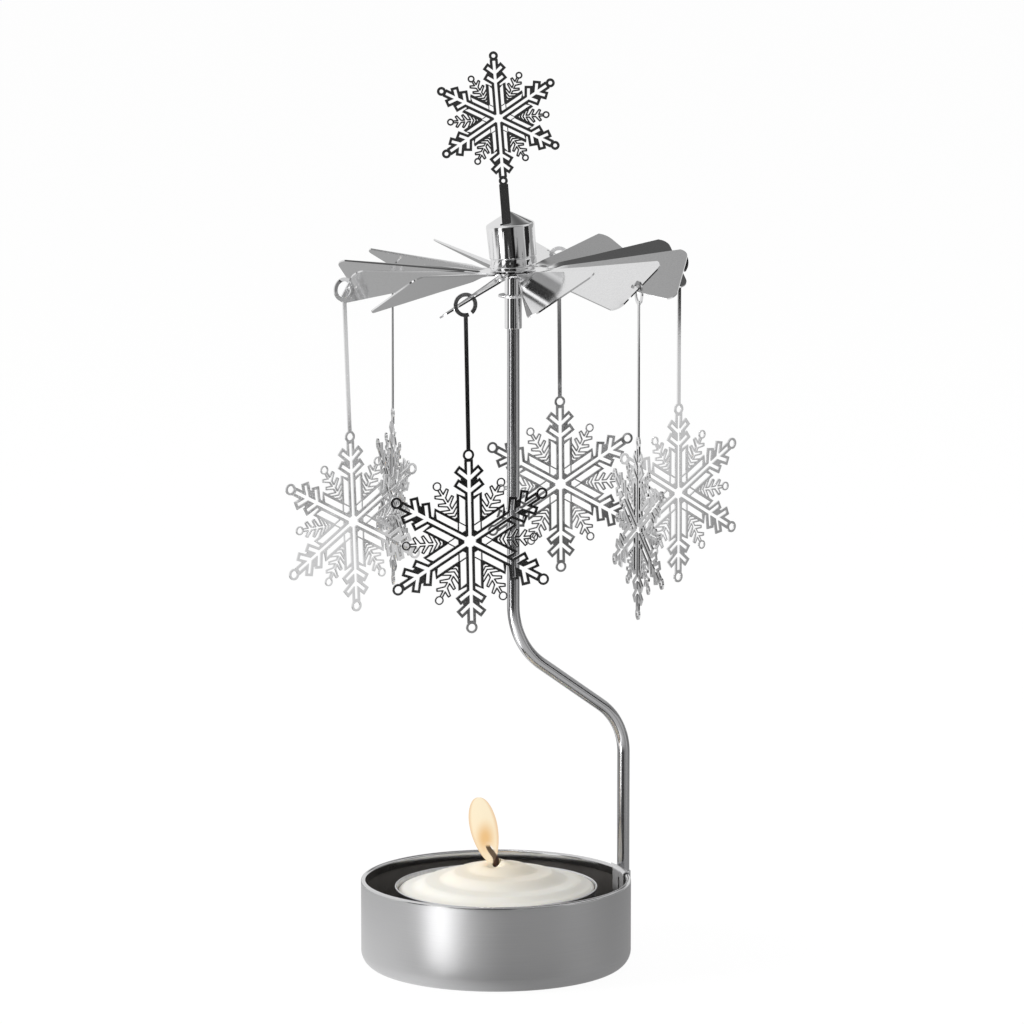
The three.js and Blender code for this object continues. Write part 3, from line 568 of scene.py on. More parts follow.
@dataclass
class Piece:
    """A mesh under construction, in millimetres, with the body and slot it belongs to."""

    name: str
    body: str
    slot: Slot | None
    replaces: tuple[str, ...] = ()

    def build(self, points: Array, faces: Sequence, material: bpy.types.Material, *,
              smooth_deg: float = 35.0, uv: Array | None = None, weld: float = 1e-4) -> bpy.types.Object:
        """Makes the object, closes its seams and tells the frame about it.

        Args:
            points: Points, n by 3.
            faces: Faces as index lists or an array.
            material: The finish.
            smooth_deg: Edges sharper than this stay sharp.
            uv: One UV pair for each point.
            weld: Points closer than this many millimetres become one.

        Returns:
            The object.
        """
        mesh = bpy.data.meshes.new(self.name)
        mesh.from_pydata(np.asarray(points, float) * MM, [], np.asarray(faces).tolist()
                         if isinstance(faces, np.ndarray) else list(faces))
        if uv is not None:
            layer = mesh.uv_layers.new(name=UV_NAME)
            corner = np.empty(len(mesh.loops), dtype=np.int32)
            mesh.loops.foreach_get("vertex_index", corner)
            layer.data.foreach_set("uv", np.asarray(uv, np.float32)[corner].ravel())
        work = bmesh.new()
        work.from_mesh(mesh)
        if weld:
            bmesh.ops.remove_doubles(work, verts=work.verts, dist=weld * MM)
            bmesh.ops.dissolve_degenerate(work, edges=work.edges, dist=weld * MM * 0.5)
        bmesh.ops.recalc_face_normals(work, faces=work.faces)
        work.to_mesh(mesh)
        work.free()
        mesh.shade_smooth()
        mesh.set_sharp_from_angle(angle=math.radians(smooth_deg))
        mesh.materials.append(material)
        made = bpy.data.objects.new(self.name, mesh)
        bpy.context.scene.collection.objects.link(made)
        return self.register(made)

    def register(self, made: bpy.types.Object) -> bpy.types.Object:
        """Tells the frame which body and nodes an object goes with.

        Args:
            made: The object.

        Returns:
            The same object.
        """
        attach(made, self.body)
        if self.replaces:
            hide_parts(*self.replaces)
        log.info("%s: %d faces", self.name, len(made.data.polygons))
        return made


def soften(made: bpy.types.Object, width: float, degrees: float = 30.0) -> None:
    """Bevels an object's sharp edges.

    Args:
        made: The object.
        width: Width of the bevels in millimetres.
        degrees: Edges sharper than this are bevelled.
    """
    softer = made.modifiers.new("softer", "BEVEL")
    softer.width, softer.segments, softer.limit_method = width * MM, 2, "ANGLE"
    softer.angle_limit = math.radians(degrees)


def grid_faces(rows: int, columns: int, wrap: bool) -> Array:
    """Quads of a grid of points.

    Args:
        rows: Points along the first parameter.
        columns: Points along the second.
        wrap: Whether the second closes on itself.

    Returns:
        Faces, n by 4.
    """
    i = np.arange(rows - 1)[:, None]
    j = np.arange(columns if wrap else columns - 1)[None, :]
    k = (j + 1) % columns
    return np.stack([i * columns + j, i * columns + k, (i + 1) * columns + k, (i + 1) * columns + j],
                    axis=-1).reshape(-1, 4)


def turned(profile: Sequence, segments: int, x: float = 0.0) -> tuple[Array, Array]:
    """A surface of revolution: radius and height of the profile, carried round an upright axis.

    Args:
        profile: Radius and height pairs in millimetres.
        segments: Steps round the axis.
        x: Place of the axis.

    Returns:
        Points and faces.
    """
    r, z = np.asarray(profile, float).T
    angle = np.arange(segments) * TAU / segments
    points = np.stack([x + r[:, None] * np.cos(angle), r[:, None] * np.sin(angle),
                       np.broadcast_to(z[:, None], (len(z), segments))], axis=-1)
    return points.reshape(-1, 3), grid_faces(len(r), segments, True)


def arc(centre: tuple[float, float], radius: float, start: float, end: float, steps: int) -> list:
    """Points of an arc in a profile.

    Args:
        centre: Its centre.
        radius: Its radius.
        start, end: Angles in degrees.
        steps: Steps along it.

    Returns:
        Pairs.
    """
    angle = np.radians(np.linspace(start, end, steps + 1))
    return np.stack([centre[0] + radius * np.cos(angle), centre[1] + radius * np.sin(angle)], -1).tolist()


def tube(path: Array, radius: Array | float, sides: int) -> tuple[Array, Array, Array]:
    """A round section carried along a path without twist, closed by flat ends.

    Args:
        path: Points of the middle line.
        radius: The section's radius, one for all or one for each point.
        sides: Points round the section.

    Returns:
        Points, faces and UV pairs (length in millimetres, share round the section).
    """
    path = np.asarray(path, float)
    tangent = np.gradient(path, axis=0)
    tangent /= np.linalg.norm(tangent, axis=1, keepdims=True)
    normal = np.empty_like(tangent)
    start = np.cross(tangent[0], (0.0, 1.0, 0.0))
    normal[0] = start / np.linalg.norm(start)
    for i in range(1, len(path)):  # carries the normal along by removing what lies on the tangent
        carried = normal[i - 1] - tangent[i] * (normal[i - 1] @ tangent[i])
        normal[i] = carried / np.linalg.norm(carried)
    side = np.cross(tangent, normal)
    angle = np.arange(sides) * TAU / sides
    reach = np.broadcast_to(np.asarray(radius, float), (len(path),))[:, None, None]
    points = path[:, None] + reach * (np.cos(angle)[None, :, None] * normal[:, None]
                                      + np.sin(angle)[None, :, None] * side[:, None])
    length = np.concatenate([[0.0], np.cumsum(np.linalg.norm(np.diff(path, axis=0), axis=1))])
    uv = np.stack(np.broadcast_arrays(length[:, None], np.abs(2 * np.arange(sides) / sides - 1)[None]), -1)
    faces = grid_faces(len(path), sides, True).tolist()
    last = (len(path) - 1) * sides
    faces += [list(range(sides)), list(range(last, last + sides))]
    return points.reshape(-1, 3), faces, uv.reshape(-1, 2)


class Etching:
    """A flat pattern made of overlapping outlines: what any solid outline covers and no open one does."""

    def __init__(self) -> None:
        """Starts with an empty sheet."""
        self.solid: list[Array] = []
        self.open: list[Array] = []

    def stroke(self, points: Sequence, width: float) -> None:
        """Adds a line of even width with rounded joints.

        Args:
            points: Its middle line.
            width: Its width.
        """
        points = np.asarray(points, float)
        for a, b in zip(points[:-1], points[1:]):
            along = (b - a) / np.linalg.norm(b - a)
            across = np.array([-along[1], along[0]]) * width / 2
            self.solid.append(np.stack([a - across, b - across, b + across, a + across]))
        for joint in points:
            self.solid.append(disc(joint, width / 2, 8))

    def mapped(self, change: Callable[[Array], Array]) -> "Etching":
        """This pattern with every outline changed.

        Args:
            change: Gives an outline's new points.

        Returns:
            A new pattern.
        """
        made = Etching()
        made.solid = [change(shape) for shape in self.solid]
        made.open = [change(shape) for shape in self.open]
        return made

    def add(self, other: "Etching") -> None:
        """Lays another pattern over this one."""
        self.solid += other.solid
        self.open += other.open

    def turned_copies(self, count: int, step: float) -> "Etching":
        """This pattern with copies turned round the origin.

        Args:
            count: How many there are.
            step: Angle between them, in radians.

        Returns:
            A new pattern.
        """
        made = Etching()
        for i in range(count):
            turn = turning(i * step)
            made.add(self.mapped(lambda shape: shape @ turn))
        return made

    def triangles(self, extra: Array | None = None) -> tuple[Array, Array]:
        """Triangles of the sheet, from a constrained triangulation of every outline.

        Args:
            extra: Further points that the triangles should use.

        Returns:
            Points, n by 2, and triangles.
        """
        shapes = self.solid + self.open
        points, faces = [], []
        for shape in shapes:
            after = np.roll(shape, -1, axis=0)
            if (shape[:, 0] * after[:, 1] - after[:, 0] * shape[:, 1]).sum() < 0:
                shape = shape[::-1]
            faces.append(list(range(len(points), len(points) + len(shape))))
            points += [Vector(p) for p in shape.tolist()]
        if extra is not None:
            points += [Vector(p) for p in extra.tolist()]
        verts, _, tris, _, _, owners = delaunay_2d_cdt(points, [], faces, 0, 1e-5)
        limit = len(self.solid)
        kept = [tri for tri, owner in zip(tris, owners)
                if owner and any(o < limit for o in owner) and not any(o >= limit for o in owner)]
        return np.array([(v.x, v.y) for v in verts]), np.array(kept)


def turning(angle: float) -> Array:
    """Matrix that turns row vectors anticlockwise by an angle in radians."""
    c, s = math.cos(angle), math.sin(angle)
    return np.array([[c, s], [-s, c]])


def box(left: float, right: float, low: float, high: float) -> Array:
    """Corners of an upright rectangle."""
    return np.array([(left, low), (right, low), (right, high), (left, high)])


def disc(centre: Sequence, radius: float, sides: int) -> Array:
    """Corners of a regular polygon.

    Args:
        centre: Its middle.
        radius: Distance of its corners.
        sides: How many there are.

    Returns:
        Corners, n by 2.
    """
    angle = (np.arange(sides) + 0.5) * TAU / sides
    return np.asarray(centre, float) + radius * np.stack([np.cos(angle), np.sin(angle)], -1)


def thickened(flat: Array, triangles: Array, thickness: float,
              bend: Callable[[Array, Array], Array]) -> tuple[Array, list]:
    """A sheet from flat triangles: an upper and a lower copy joined by walls along the open edges.

    Args:
        flat: Points, n by 2.
        triangles: Triangles, anticlockwise or not.
        thickness: Thickness of the sheet.
        bend: Gives the place of points from their flat place and their height over the middle.

    Returns:
        Points and faces.
    """
    a, b, c = (flat[triangles[:, k]] for k in range(3))
    area = (b[:, 0] - a[:, 0]) * (c[:, 1] - a[:, 1]) - (b[:, 1] - a[:, 1]) * (c[:, 0] - a[:, 0])
    triangles = np.where((area > 0)[:, None], triangles, triangles[:, ::-1])[np.abs(area) > 1e-9]
    edges = np.concatenate([triangles[:, [0, 1]], triangles[:, [1, 2]], triangles[:, [2, 0]]])
    key = np.sort(edges, axis=1)
    _, first, count = np.unique(key, axis=0, return_index=True, return_counts=True)
    rim = edges[first[count == 1]]
    n = len(flat)
    high = bend(flat, np.full(n, thickness / 2))
    low = bend(flat, np.full(n, -thickness / 2))
    faces = triangles.tolist() + (triangles[:, ::-1] + n).tolist()
    faces += np.stack([rim[:, 1], rim[:, 0], rim[:, 0] + n, rim[:, 1] + n], axis=1).tolist()
    return np.concatenate([high, low]), faces


# Snowflakes


@dataclass
class Snowflake:
    """The etched flake. Sizes are for a charm, along an arm and across it, in millimetres.

    A ring is its outer and inner radius, the twig's with its place first. A bar is its root along the arm,
    its angle in degrees and its length. A chevron is its apex and its reach along the twig.
    """

    tip: float = 15.7
    tip_ring: tuple[float, float] = (1.06, 0.66)
    slot_half: float = 0.32
    arm_half: float = 0.80
    upper_bar: tuple[float, float, float] = (11.35, 50.0, 3.0)
    lower_bar: tuple[float, float, float] = (9.1, 55.0, 3.02)
    bar_half: float = 0.80
    bar_open: float = 0.32
    strip_edge: float = 2.13
    strip_line: float = 0.46
    strip_top: tuple[float, float] = (7.75, 8.65)
    barb: tuple = ((12.1, 0.6), (11.5, 1.55), (11.2, 1.55), (10.2, 0.6))
    twig_line: float = 0.25
    twig_ring: tuple[float, float, float] = (11.95, 0.82, 0.58)
    twig: tuple = ((11.2, 0.23), (10.1, 0.23), (10.66, 1.22), (10.28, 1.44), (9.3, 0.27), (8.42, 0.23),
                   (9.05, 1.42), (8.7, 1.62), (7.72, 0.27), (6.95, 0.23), (7.8, 1.95))
    twig_chevrons: tuple = ((6.15, 7.05), (5.5, 6.15))

    def arm(self) -> Etching:
        """One arm along +X with half of what lies on either side of it.

        Returns:
            The pattern of a sixth of the flake.
        """
        sheet = Etching()
        edge, half = self.arm_half, self.strip_line / 2
        sheet.solid.append(box(1.0, self.tip - 0.8, -edge, edge))
        sheet.solid.append(disc((self.tip, 0), self.tip_ring[0], 28))
        sheet.open.append(disc((self.tip, 0), self.tip_ring[1], 24))
        slot, end = self.slot_half, self.tip - 1.25
        wedge = slot * 1.733  # where the slots of two neighbouring arms meet
        sheet.open.append(np.array([(0.0, 0.0), (wedge, -slot), (end, -slot), (end, slot), (wedge, slot)]))
        for side in (1, -1):
            flip = np.array([1, side])
            for root, degrees, length in (self.upper_bar, self.lower_bar):
                along = np.array([math.cos(math.radians(degrees)), math.sin(math.radians(degrees))])
                across = np.array([-along[1], along[0]])
                start, end = np.array([root, 0.0]), np.array([root, 0.0]) + along * length
                inner = end - along * (self.bar_half - self.bar_open)
                for group, a, b, w in ((sheet.solid, start, end, self.bar_half),
                                       (sheet.open, start, inner, self.bar_open)):
                    group.append(np.stack([a - across * w, b - across * w, b + across * w, a + across * w]) * flip)
            sheet.solid.append(np.array(self.barb) * flip)
            low, top = self.strip_top
            y = self.strip_edge
            near, far = y - half, y + half
            cross = y / math.tan(math.pi / 6)
            meet = (edge + y / 2) / math.cos(math.pi / 6)
            sheet.solid.append(np.array([(cross, near), (top, near), (top + 0.2, far), (cross, far)]) * flip)
            sheet.solid.append(box(meet, cross + 0.1, y - 0.11, y + 0.11) * flip)
            slope = np.array([(low - 0.28, edge - 0.1), (top - 0.28, near), (top + 0.2, far),
                              (low + 0.4, edge - 0.1)])
            sheet.solid.append(slope * flip)
        return sheet

    def fern(self) -> Etching:
        """The small twig between two arms, along +X.

        Returns:
            The pattern of a sixth of the flake.
        """
        sheet = Etching()
        place, outer, inner = self.twig_ring
        sheet.solid.append(disc((place, 0), outer, 24))
        sheet.open.append(disc((place, 0), inner, 20))
        for side in (1, -1):
            flip = np.array([1, side])
            sheet.stroke(np.array(self.twig) * flip, self.twig_line)
            for apex, reach in self.twig_chevrons:
                across = (reach * 0.5 - self.strip_edge) / math.cos(math.pi / 6)
                sheet.stroke(np.array([(apex, 0), (reach, across)]) * flip, self.twig_line)
        crossing = self.strip_edge / math.sin(math.pi / 6)
        sheet.solid.append(np.array([(crossing - 0.1, 0), (5.15, 0.42), (5.15, -0.42)]))
        sheet.solid.append(np.array([(1.0, 0.0), (2.2, 0.36), (2.2, -0.36)]))
        return sheet

    def pattern(self) -> Etching:
        """The whole flake with one arm up.

        Returns:
            The pattern.
        """
        sixth = self.arm()
        turn = turning(math.pi / 6)
        sixth.add(self.fern().mapped(lambda shape: shape @ turn))
        quarter = np.array([[0.0, 1.0], [-1.0, 0.0]])
        sixth = sixth.mapped(lambda shape: shape @ quarter)
        return sixth.turned_copies(6, TAU / 6)


@dataclass
class Charm:
    """A hanging flake with its strip and open hook ring, drawn with the ring's middle at the origin.

    The ring is outer and inner radius, and its opening two angles in degrees.
    """

    drop: float = 42.8
    strip: float = 0.75
    ring: tuple[float, float] = (2.2, 1.5)
    opening: tuple[float, float] = (-72.0, -52.0)
    thickness: float = 0.3

    def flat(self, flake: Snowflake) -> tuple[Array, Array]:
        """Triangles of the whole charm in its own plane.

        Args:
            flake: The flake it carries.

        Returns:
            Points and triangles.
        """
        sheet = flake.pattern().mapped(lambda shape: shape - (0, self.drop))
        low = flake.tip + (flake.tip_ring[0] + flake.tip_ring[1]) / 2 - self.drop
        half = self.strip / 2
        high = -(self.ring[0] + self.ring[1]) / 2
        sheet.solid.append(box(-half, half, low, high))
        angle = np.radians(np.linspace(self.opening[1], 360 + self.opening[0], 49))
        round_ = np.stack([np.cos(angle), np.sin(angle)], -1)
        sheet.solid.append(np.concatenate([round_ * self.ring[0], round_[::-1] * self.ring[1]]))
        return sheet.triangles()


@dataclass
class CharmSet:
    """The six charms, hung where their joints are."""

    charm: Charm = field(default_factory=Charm)
    flake: Snowflake = field(default_factory=Snowflake)
    leans: tuple[float, ...] = (1.1, 0.0, 0.0, 0.5, 0.0, 2.5)

    def build(self, finish: bpy.types.Material) -> None:
        """Makes every charm in the plane that its joint's axis gives.

        Args:
            finish: The sheet's finish.
        """
        flat, triangles = self.charm.flat(self.flake)
        joints = {j["name"]: j for j in frame["record"]["behaviour"]["joints"]}
        for i, degrees in enumerate(self.leans, 1):
            joint = joints[f"charm_swing_{i}"]
            middle = np.array(joint["pos_m"]) / MM
            normal = np.array(joint["axis"])
            level = np.cross((0.0, 0.0, 1.0), normal)
            level /= np.linalg.norm(level)
            c, q = math.cos(math.radians(degrees)), math.sin(math.radians(degrees))
            along = c * level + q * np.array([0.0, 0.0, 1.0])
            up = c * np.array([0.0, 0.0, 1.0]) - q * level

            def bend(points: Array, height: Array) -> Array:
                """Point = ring middle + x along the plane + y up + height along the normal."""
                return middle + points[:, :1] * along + points[:, 1:] * up + height[:, None] * normal

            points, faces = thickened(flat, triangles, self.charm.thickness, bend)
            piece = Piece(f"snowflake_charm_{i}", f"charm_body_{i}", Slot.ETCHED, (f"charm_{i}",))
            piece.build(points, faces, finish, smooth_deg=30)


@dataclass
class Rotor:
    """Sizes that the fan, the hub and the topper share."""

    axis: float = 3.2
    tip: float = 139.084
    lean: float = 2.0
    shift: float = 0.4

    def tilt(self, points: Array) -> Array:
        """Leans points about the needle's tip, a turn about Y through it, and shifts them to the left.

        Args:
            points: Points drawn level.

        Returns:
            Points as they hang.
        """
        a = -math.radians(self.lean)
        c, s = math.cos(a), math.sin(a)
        turn = np.array([[c, 0, s], [0, 1, 0], [-s, 0, c]])
        pivot = np.array([self.axis, 0.0, self.tip])
        return (points - pivot) @ turn.T + pivot - (self.shift, 0.0, 0.0)


@dataclass
class Topper:
    """The smaller flake, with bolder lines, on its strip in the cap's roof."""

    rotor: Rotor
    flake: Snowflake = field(default_factory=lambda: Snowflake(
        tip_ring=(1.14, 0.48), slot_half=0.34, arm_half=1.02, bar_half=1.0, bar_open=0.34, strip_line=0.74,
        twig_line=0.38, twig_ring=(11.95, 0.9, 0.48)))
    scale: float = 0.727
    strip: float = 1.65
    foot: tuple[float, float, float] = (2.4, -3.3, 138.2)
    strip_end: float = 133.5
    centre_above_foot: float = 19.73
    lean: float = 2.5
    thickness: float = 0.3

    def build(self, finish: bpy.types.Material) -> None:
        """Makes the topper: the flake, shrunk, on a strip that leans from its foot.

        Args:
            finish: The sheet's finish.
        """
        sheet = self.flake.pattern().mapped(lambda shape: shape * self.scale)
        half = self.strip / 2
        ring = self.flake.tip_ring
        top = -(self.flake.tip + (ring[0] + ring[1]) / 2) * self.scale
        bottom = self.strip_end - self.foot[2] - self.centre_above_foot
        sheet.solid.append(box(-half, half, bottom, top))
        flat, triangles = sheet.triangles()
        a = math.radians(self.lean)

        def bend(points: Array, height: Array) -> Array:
            """Point = foot + the flat point turned by the lean, in the upright plane in front."""
            x, z = points[:, 0], points[:, 1] + self.centre_above_foot
            level = np.stack([self.foot[0] + x * math.cos(a) - z * math.sin(a),
                              self.foot[1] - height,
                              self.foot[2] + x * math.sin(a) + z * math.cos(a)], -1)
            return self.rotor.tilt(level)

        points, faces = thickened(flat, triangles, self.thickness, bend)
        Piece("snowflake_topper", Body.ROTOR.value, Slot.ETCHED, ("topper_snowflake",)).build(
            points, faces, finish, smooth_deg=30)


@dataclass
class Fan:
    """The twelve-bladed disc, cut flat and then bent. A hook hole is its radius and its inset."""

    rotor: Rotor
    height: float = 129.5
    radius: float = 31.6
    thickness: float = 0.3
    hub: float = 6.0
    hole: float = 2.75
    blades: int = 12
    first: float = -103.5
    pitch: float = 29.5
    twist_end: float = 9.5
    droop: float = 1.7
    slit: float = 1.6
    corner: float = 2.2
    hook_hole: tuple[float, float] = (0.95, 1.15)

    def half_width(self, r: Array) -> Array:
        """Half width of a blade: a share of the circle less the slit."""
        return r * math.tan(math.pi / self.blades) - self.slit / 2

    def outline(self) -> Array:
        """Outline of one blade along +X in the flat sheet.

        Returns:
            Points, anticlockwise.
        """
        corner = self.radius - self.corner
        wide = self.half_width(corner) - self.corner + 0.35
        top = [(self.hub - 1.0, self.half_width(self.hub))]
        top += arc((corner, wide), self.corner, 75, 0, 6)
        lower = [(r, -s) for r, s in reversed(top)]
        return np.array(top + lower)[::-1]

    def build(self, finish: bpy.types.Material) -> None:
        """Makes the fan: a flat triangulation, turned about each blade's own middle line.

        Args:
            finish: The sheet's finish.
        """
        sheet = Etching()
        step = TAU / self.blades
        outline = self.outline()
        inner = np.linspace(self.hub - 0.5, self.radius - 0.8, 22)
        across = np.linspace(-0.96, 0.96, 9)
        r, s = np.meshgrid(inner, across, indexing="ij")
        field_points = np.stack([r, s * self.half_width(r)], -1).reshape(-1, 2)
        extra = []
        for i in range(self.blades):
            turn = turning(i * step)
            sheet.solid.append(outline @ turn)
            extra.append(field_points @ turn)
            if i % 2 == 0:
                sheet.open.append(disc((self.radius - self.hook_hole[1], 0), self.hook_hole[0], 20) @ turn)
        sheet.solid.append(disc((0, 0), self.hub, 96))
        sheet.open.append(disc((0, 0), self.hole, 48))
        flat, triangles = sheet.triangles(np.concatenate(extra))

        def bend(points: Array, height: Array) -> Array:
            """Each point is turned about its blade's middle line by a twist that eases in with radius."""
            angle = np.arctan2(points[:, 1], points[:, 0])
            middle = np.round(angle / step) * step
            radius = np.hypot(points[:, 0], points[:, 1])
            along = radius * np.cos(angle - middle)
            side = radius * np.sin(angle - middle)
            t = np.clip((along - self.hub) / (self.twist_end - self.hub), 0, 1)
            twist = math.radians(self.pitch) * t * t * (3 - 2 * t)
            drop = np.maximum(0, along - self.hub) * math.tan(math.radians(self.droop))
            across_ = side * np.cos(twist) - height * np.sin(twist)
            up = side * np.sin(twist) + height * np.cos(twist) - drop
            place = middle + math.radians(self.first)
            x = self.rotor.axis + along * np.cos(place) - across_ * np.sin(place)
            y = along * np.sin(place) + across_ * np.cos(place)
            return self.rotor.tilt(np.stack([x, y, self.height + up], -1))

        points, faces = thickened(flat, triangles, self.thickness, bend)
        Piece("fan_blades", Body.ROTOR.value, Slot.POLISHED, ("fan_disc",)).build(
            points, faces, finish, smooth_deg=30)


@dataclass
class Hub:
    """Cap and ferrule that clamp the fan.

    Below the band's height the skirt is narrower by its second number. The slot is X, Y, length and width
    in the roof. The cap sits crooked by an angle in degrees about a height. The spigot is outer and inner
    radius and its height over the flange's underside.
    """

    rotor: Rotor
    cap_bottom: float = 130.8
    skirt: float = 7.4
    roof: float = 2.4
    radius: float = 4.45
    wall: float = 0.5
    band: tuple[float, float] = (132.2, 0.1)
    taper: float = 0.16
    slot: tuple[float, float, float, float] = (-0.8, -3.3, 1.82, 0.5)
    crooked: tuple[float, float] = (3.2, 134.4)
    bend_radius: float = 0.3
    flange: float = 129.8
    flange_radius: float = 4.2
    flange_top: float = 0.85
    bore: float = 2.05
    neck: float = 2.6
    lip: float = 2.95
    spigot: tuple[float, float, float] = (3.75, 3.25, 3.25)
    segments: int = 96

    def build(self, finish: bpy.types.Material) -> None:
        """Makes both pieces, leaning with the rotor: the cap is drawn sheet, the ferrule is turned.

        Args:
            finish: The plate's finish.
        """
        self.build_cap(finish)
        low, top = self.flange - 0.5, self.flange + self.flange_top
        outer, inner, rise = self.spigot
        profile = [
            (self.bore, low - 0.65), (self.lip, low - 0.65), *arc((self.lip, low - 0.4), 0.25, -90, 90, 6),
            (self.neck, low - 0.15), (self.neck, self.flange),
            *arc((self.flange_radius - 0.2, self.flange + 0.2), 0.2, -90, 0, 4),
            *arc((self.flange_radius - 0.2, self.flange + 0.65), 0.2, 0, 90, 4),
            (outer, top), (outer, self.flange + rise), (inner, self.flange + rise),
            (inner, top), (self.bore, top), (self.bore, low - 0.65),
        ]
        points, faces = turned(profile, self.segments, self.rotor.axis)
        Piece("hub_ferrule_turned", Body.ROTOR.value, Slot.POLISHED, ("hub_ferrule",)).build(
            self.rotor.tilt(points), faces, finish, smooth_deg=25)

    def build_cap(self, finish: bpy.types.Material) -> None:
        """Makes the cap: a flat disc with the topper's slot, drawn down over its rim.

        Args:
            finish: The plate's finish.
        """
        slope = math.atan2(self.roof, self.radius)
        bend_radius = self.bend_radius
        middle = self.radius - self.wall / 2
        apex = self.cap_bottom + self.skirt + self.roof - self.wall / 2
        cone = (middle - bend_radius * (1 - math.sin(slope))) / math.cos(slope)
        swept = math.pi / 2 - slope
        edge_height = apex - cone * math.sin(slope) - bend_radius * math.cos(slope)
        reach = cone + bend_radius * swept + edge_height - self.cap_bottom
        x, y, long_, wide = self.slot
        corners = box(x - long_ / 2, x + long_ / 2, y - wide / 2, y + wide / 2) / math.cos(slope)
        sheet = Etching()
        sheet.solid.append(disc((0, 0), reach, self.segments))
        sheet.open.append(corners)
        rings = np.concatenate([np.linspace(0.5, cone - 0.15, 9), np.linspace(cone, cone + bend_radius * swept, 9),
                                np.linspace(cone + bend_radius * swept + 0.6, reach - 1.7, 6),
                                np.linspace(reach - 1.6, reach - 1.2, 9), [reach - 0.9, reach - 0.4]])
        extra = np.concatenate([[(0.0, 0.0)], *(disc((0, 0), ring, self.segments) for ring in rings)])
        inside = (abs(extra[:, 0] - corners[:, 0].mean()) < long_ / 2 + 0.1) & (
            abs(extra[:, 1] - corners[:, 1].mean()) < wide / 2 + 0.1)
        flat, triangles = sheet.triangles(extra[~inside])

        def bend(points: Array, height: Array) -> Array:
            """A point goes down the cone, round the bend and down the skirt by its flat radius."""
            s, angle = np.hypot(points[:, 0], points[:, 1]), np.arctan2(points[:, 1], points[:, 0])
            turn = slope + np.clip((s - cone) / bend_radius, 0, swept)
            down = np.maximum(0, s - cone - bend_radius * swept)
            r = (np.minimum(s, cone) * math.cos(slope) + bend_radius * (np.sin(turn) - math.sin(slope))
                 - down / (reach - cone) * self.taper + height * np.sin(turn))
            above = self.band[0] - self.cap_bottom - (reach - s)
            groove = 0.12 * np.exp(-(((above - 0.1) / 0.1) ** 2))
            r -= self.band[1] * np.clip(above / 0.08, 0, 1) + groove
            z = (apex - np.minimum(s, cone) * math.sin(slope) - bend_radius * (math.cos(slope) - np.cos(turn))
                 - down + height * np.cos(turn))
            lean = math.radians(self.crooked[0])
            x, z = r * np.cos(angle), z - self.crooked[1]
            placed = [self.rotor.axis + x * math.cos(lean) - z * math.sin(lean), r * np.sin(angle),
                      self.crooked[1] + x * math.sin(lean) + z * math.cos(lean)]
            return self.rotor.tilt(np.stack(placed, -1))

        points, faces = thickened(flat, triangles, self.wall, bend)
        Piece("hub_cap_shell", Body.ROTOR.value, Slot.POLISHED, ("hub_cap",)).build(
            points, faces, finish, smooth_deg=32)


# Stand


@dataclass
class Wire:
    """The bent wire between cup and pivot. Each corner is the height of its point and its bend's radius."""

    radius: float = 1.15
    foot_angle: float = 26.0
    foot_radius: float = 26.4
    foot_end: float = 7.6
    lower: tuple[float, float] = (43.7, 11.5)
    upper: tuple[float, float] = (60.3, 14.0)
    top: float = 122.0
    axis: float = 3.2
    sides: int = 32

    def path(self) -> Array:
        """Middle line: straights joined by arcs of the given radii.

        Returns:
            Points, n by 3.
        """
        a = math.radians(self.foot_angle)
        plan = np.array([self.foot_radius * math.cos(a), self.foot_radius * math.sin(a)])
        corners = [np.array([*plan, self.foot_end]), np.array([*plan, self.lower[0]]),
                   np.array([self.axis, 0.0, self.upper[0]]), np.array([self.axis, 0.0, self.top])]
        points = [corners[0] + (corners[1] - corners[0]) * t for t in np.linspace(0, 0.6, 8)]
        for before, corner, after, radius in zip(corners, corners[1:], corners[2:], (self.lower[1], self.upper[1])):
            inward = (before - corner) / np.linalg.norm(before - corner)
            outward = (after - corner) / np.linalg.norm(after - corner)
            half = math.acos(float(inward @ outward)) / 2
            reach = radius / math.tan(half)
            middle = inward + outward
            centre = corner + middle / np.linalg.norm(middle) * radius / math.sin(half)
            entry, leave = corner + inward * reach - centre, corner + outward * reach - centre
            turn = math.pi - 2 * half
            share = np.linspace(0, 1, 18)[:, None]
            blend = entry * np.sin((1 - share) * turn) + leave * np.sin(share * turn)
            points += list(centre + blend / math.sin(turn))
        points += [points[-1] + (corners[-1] - points[-1]) * t for t in np.linspace(0.05, 1, 14)]
        return np.array(points)

    def build(self, finish: bpy.types.Material) -> None:
        """Makes the wire.

        Args:
            finish: The wire's finish.
        """
        points, faces, uv = tube(self.path(), self.radius, self.sides)
        Piece("bent_wire", Body.STAND.value, Slot.WIRE, ("stem_wire",)).build(
            points, faces, finish, smooth_deg=40, uv=uv)


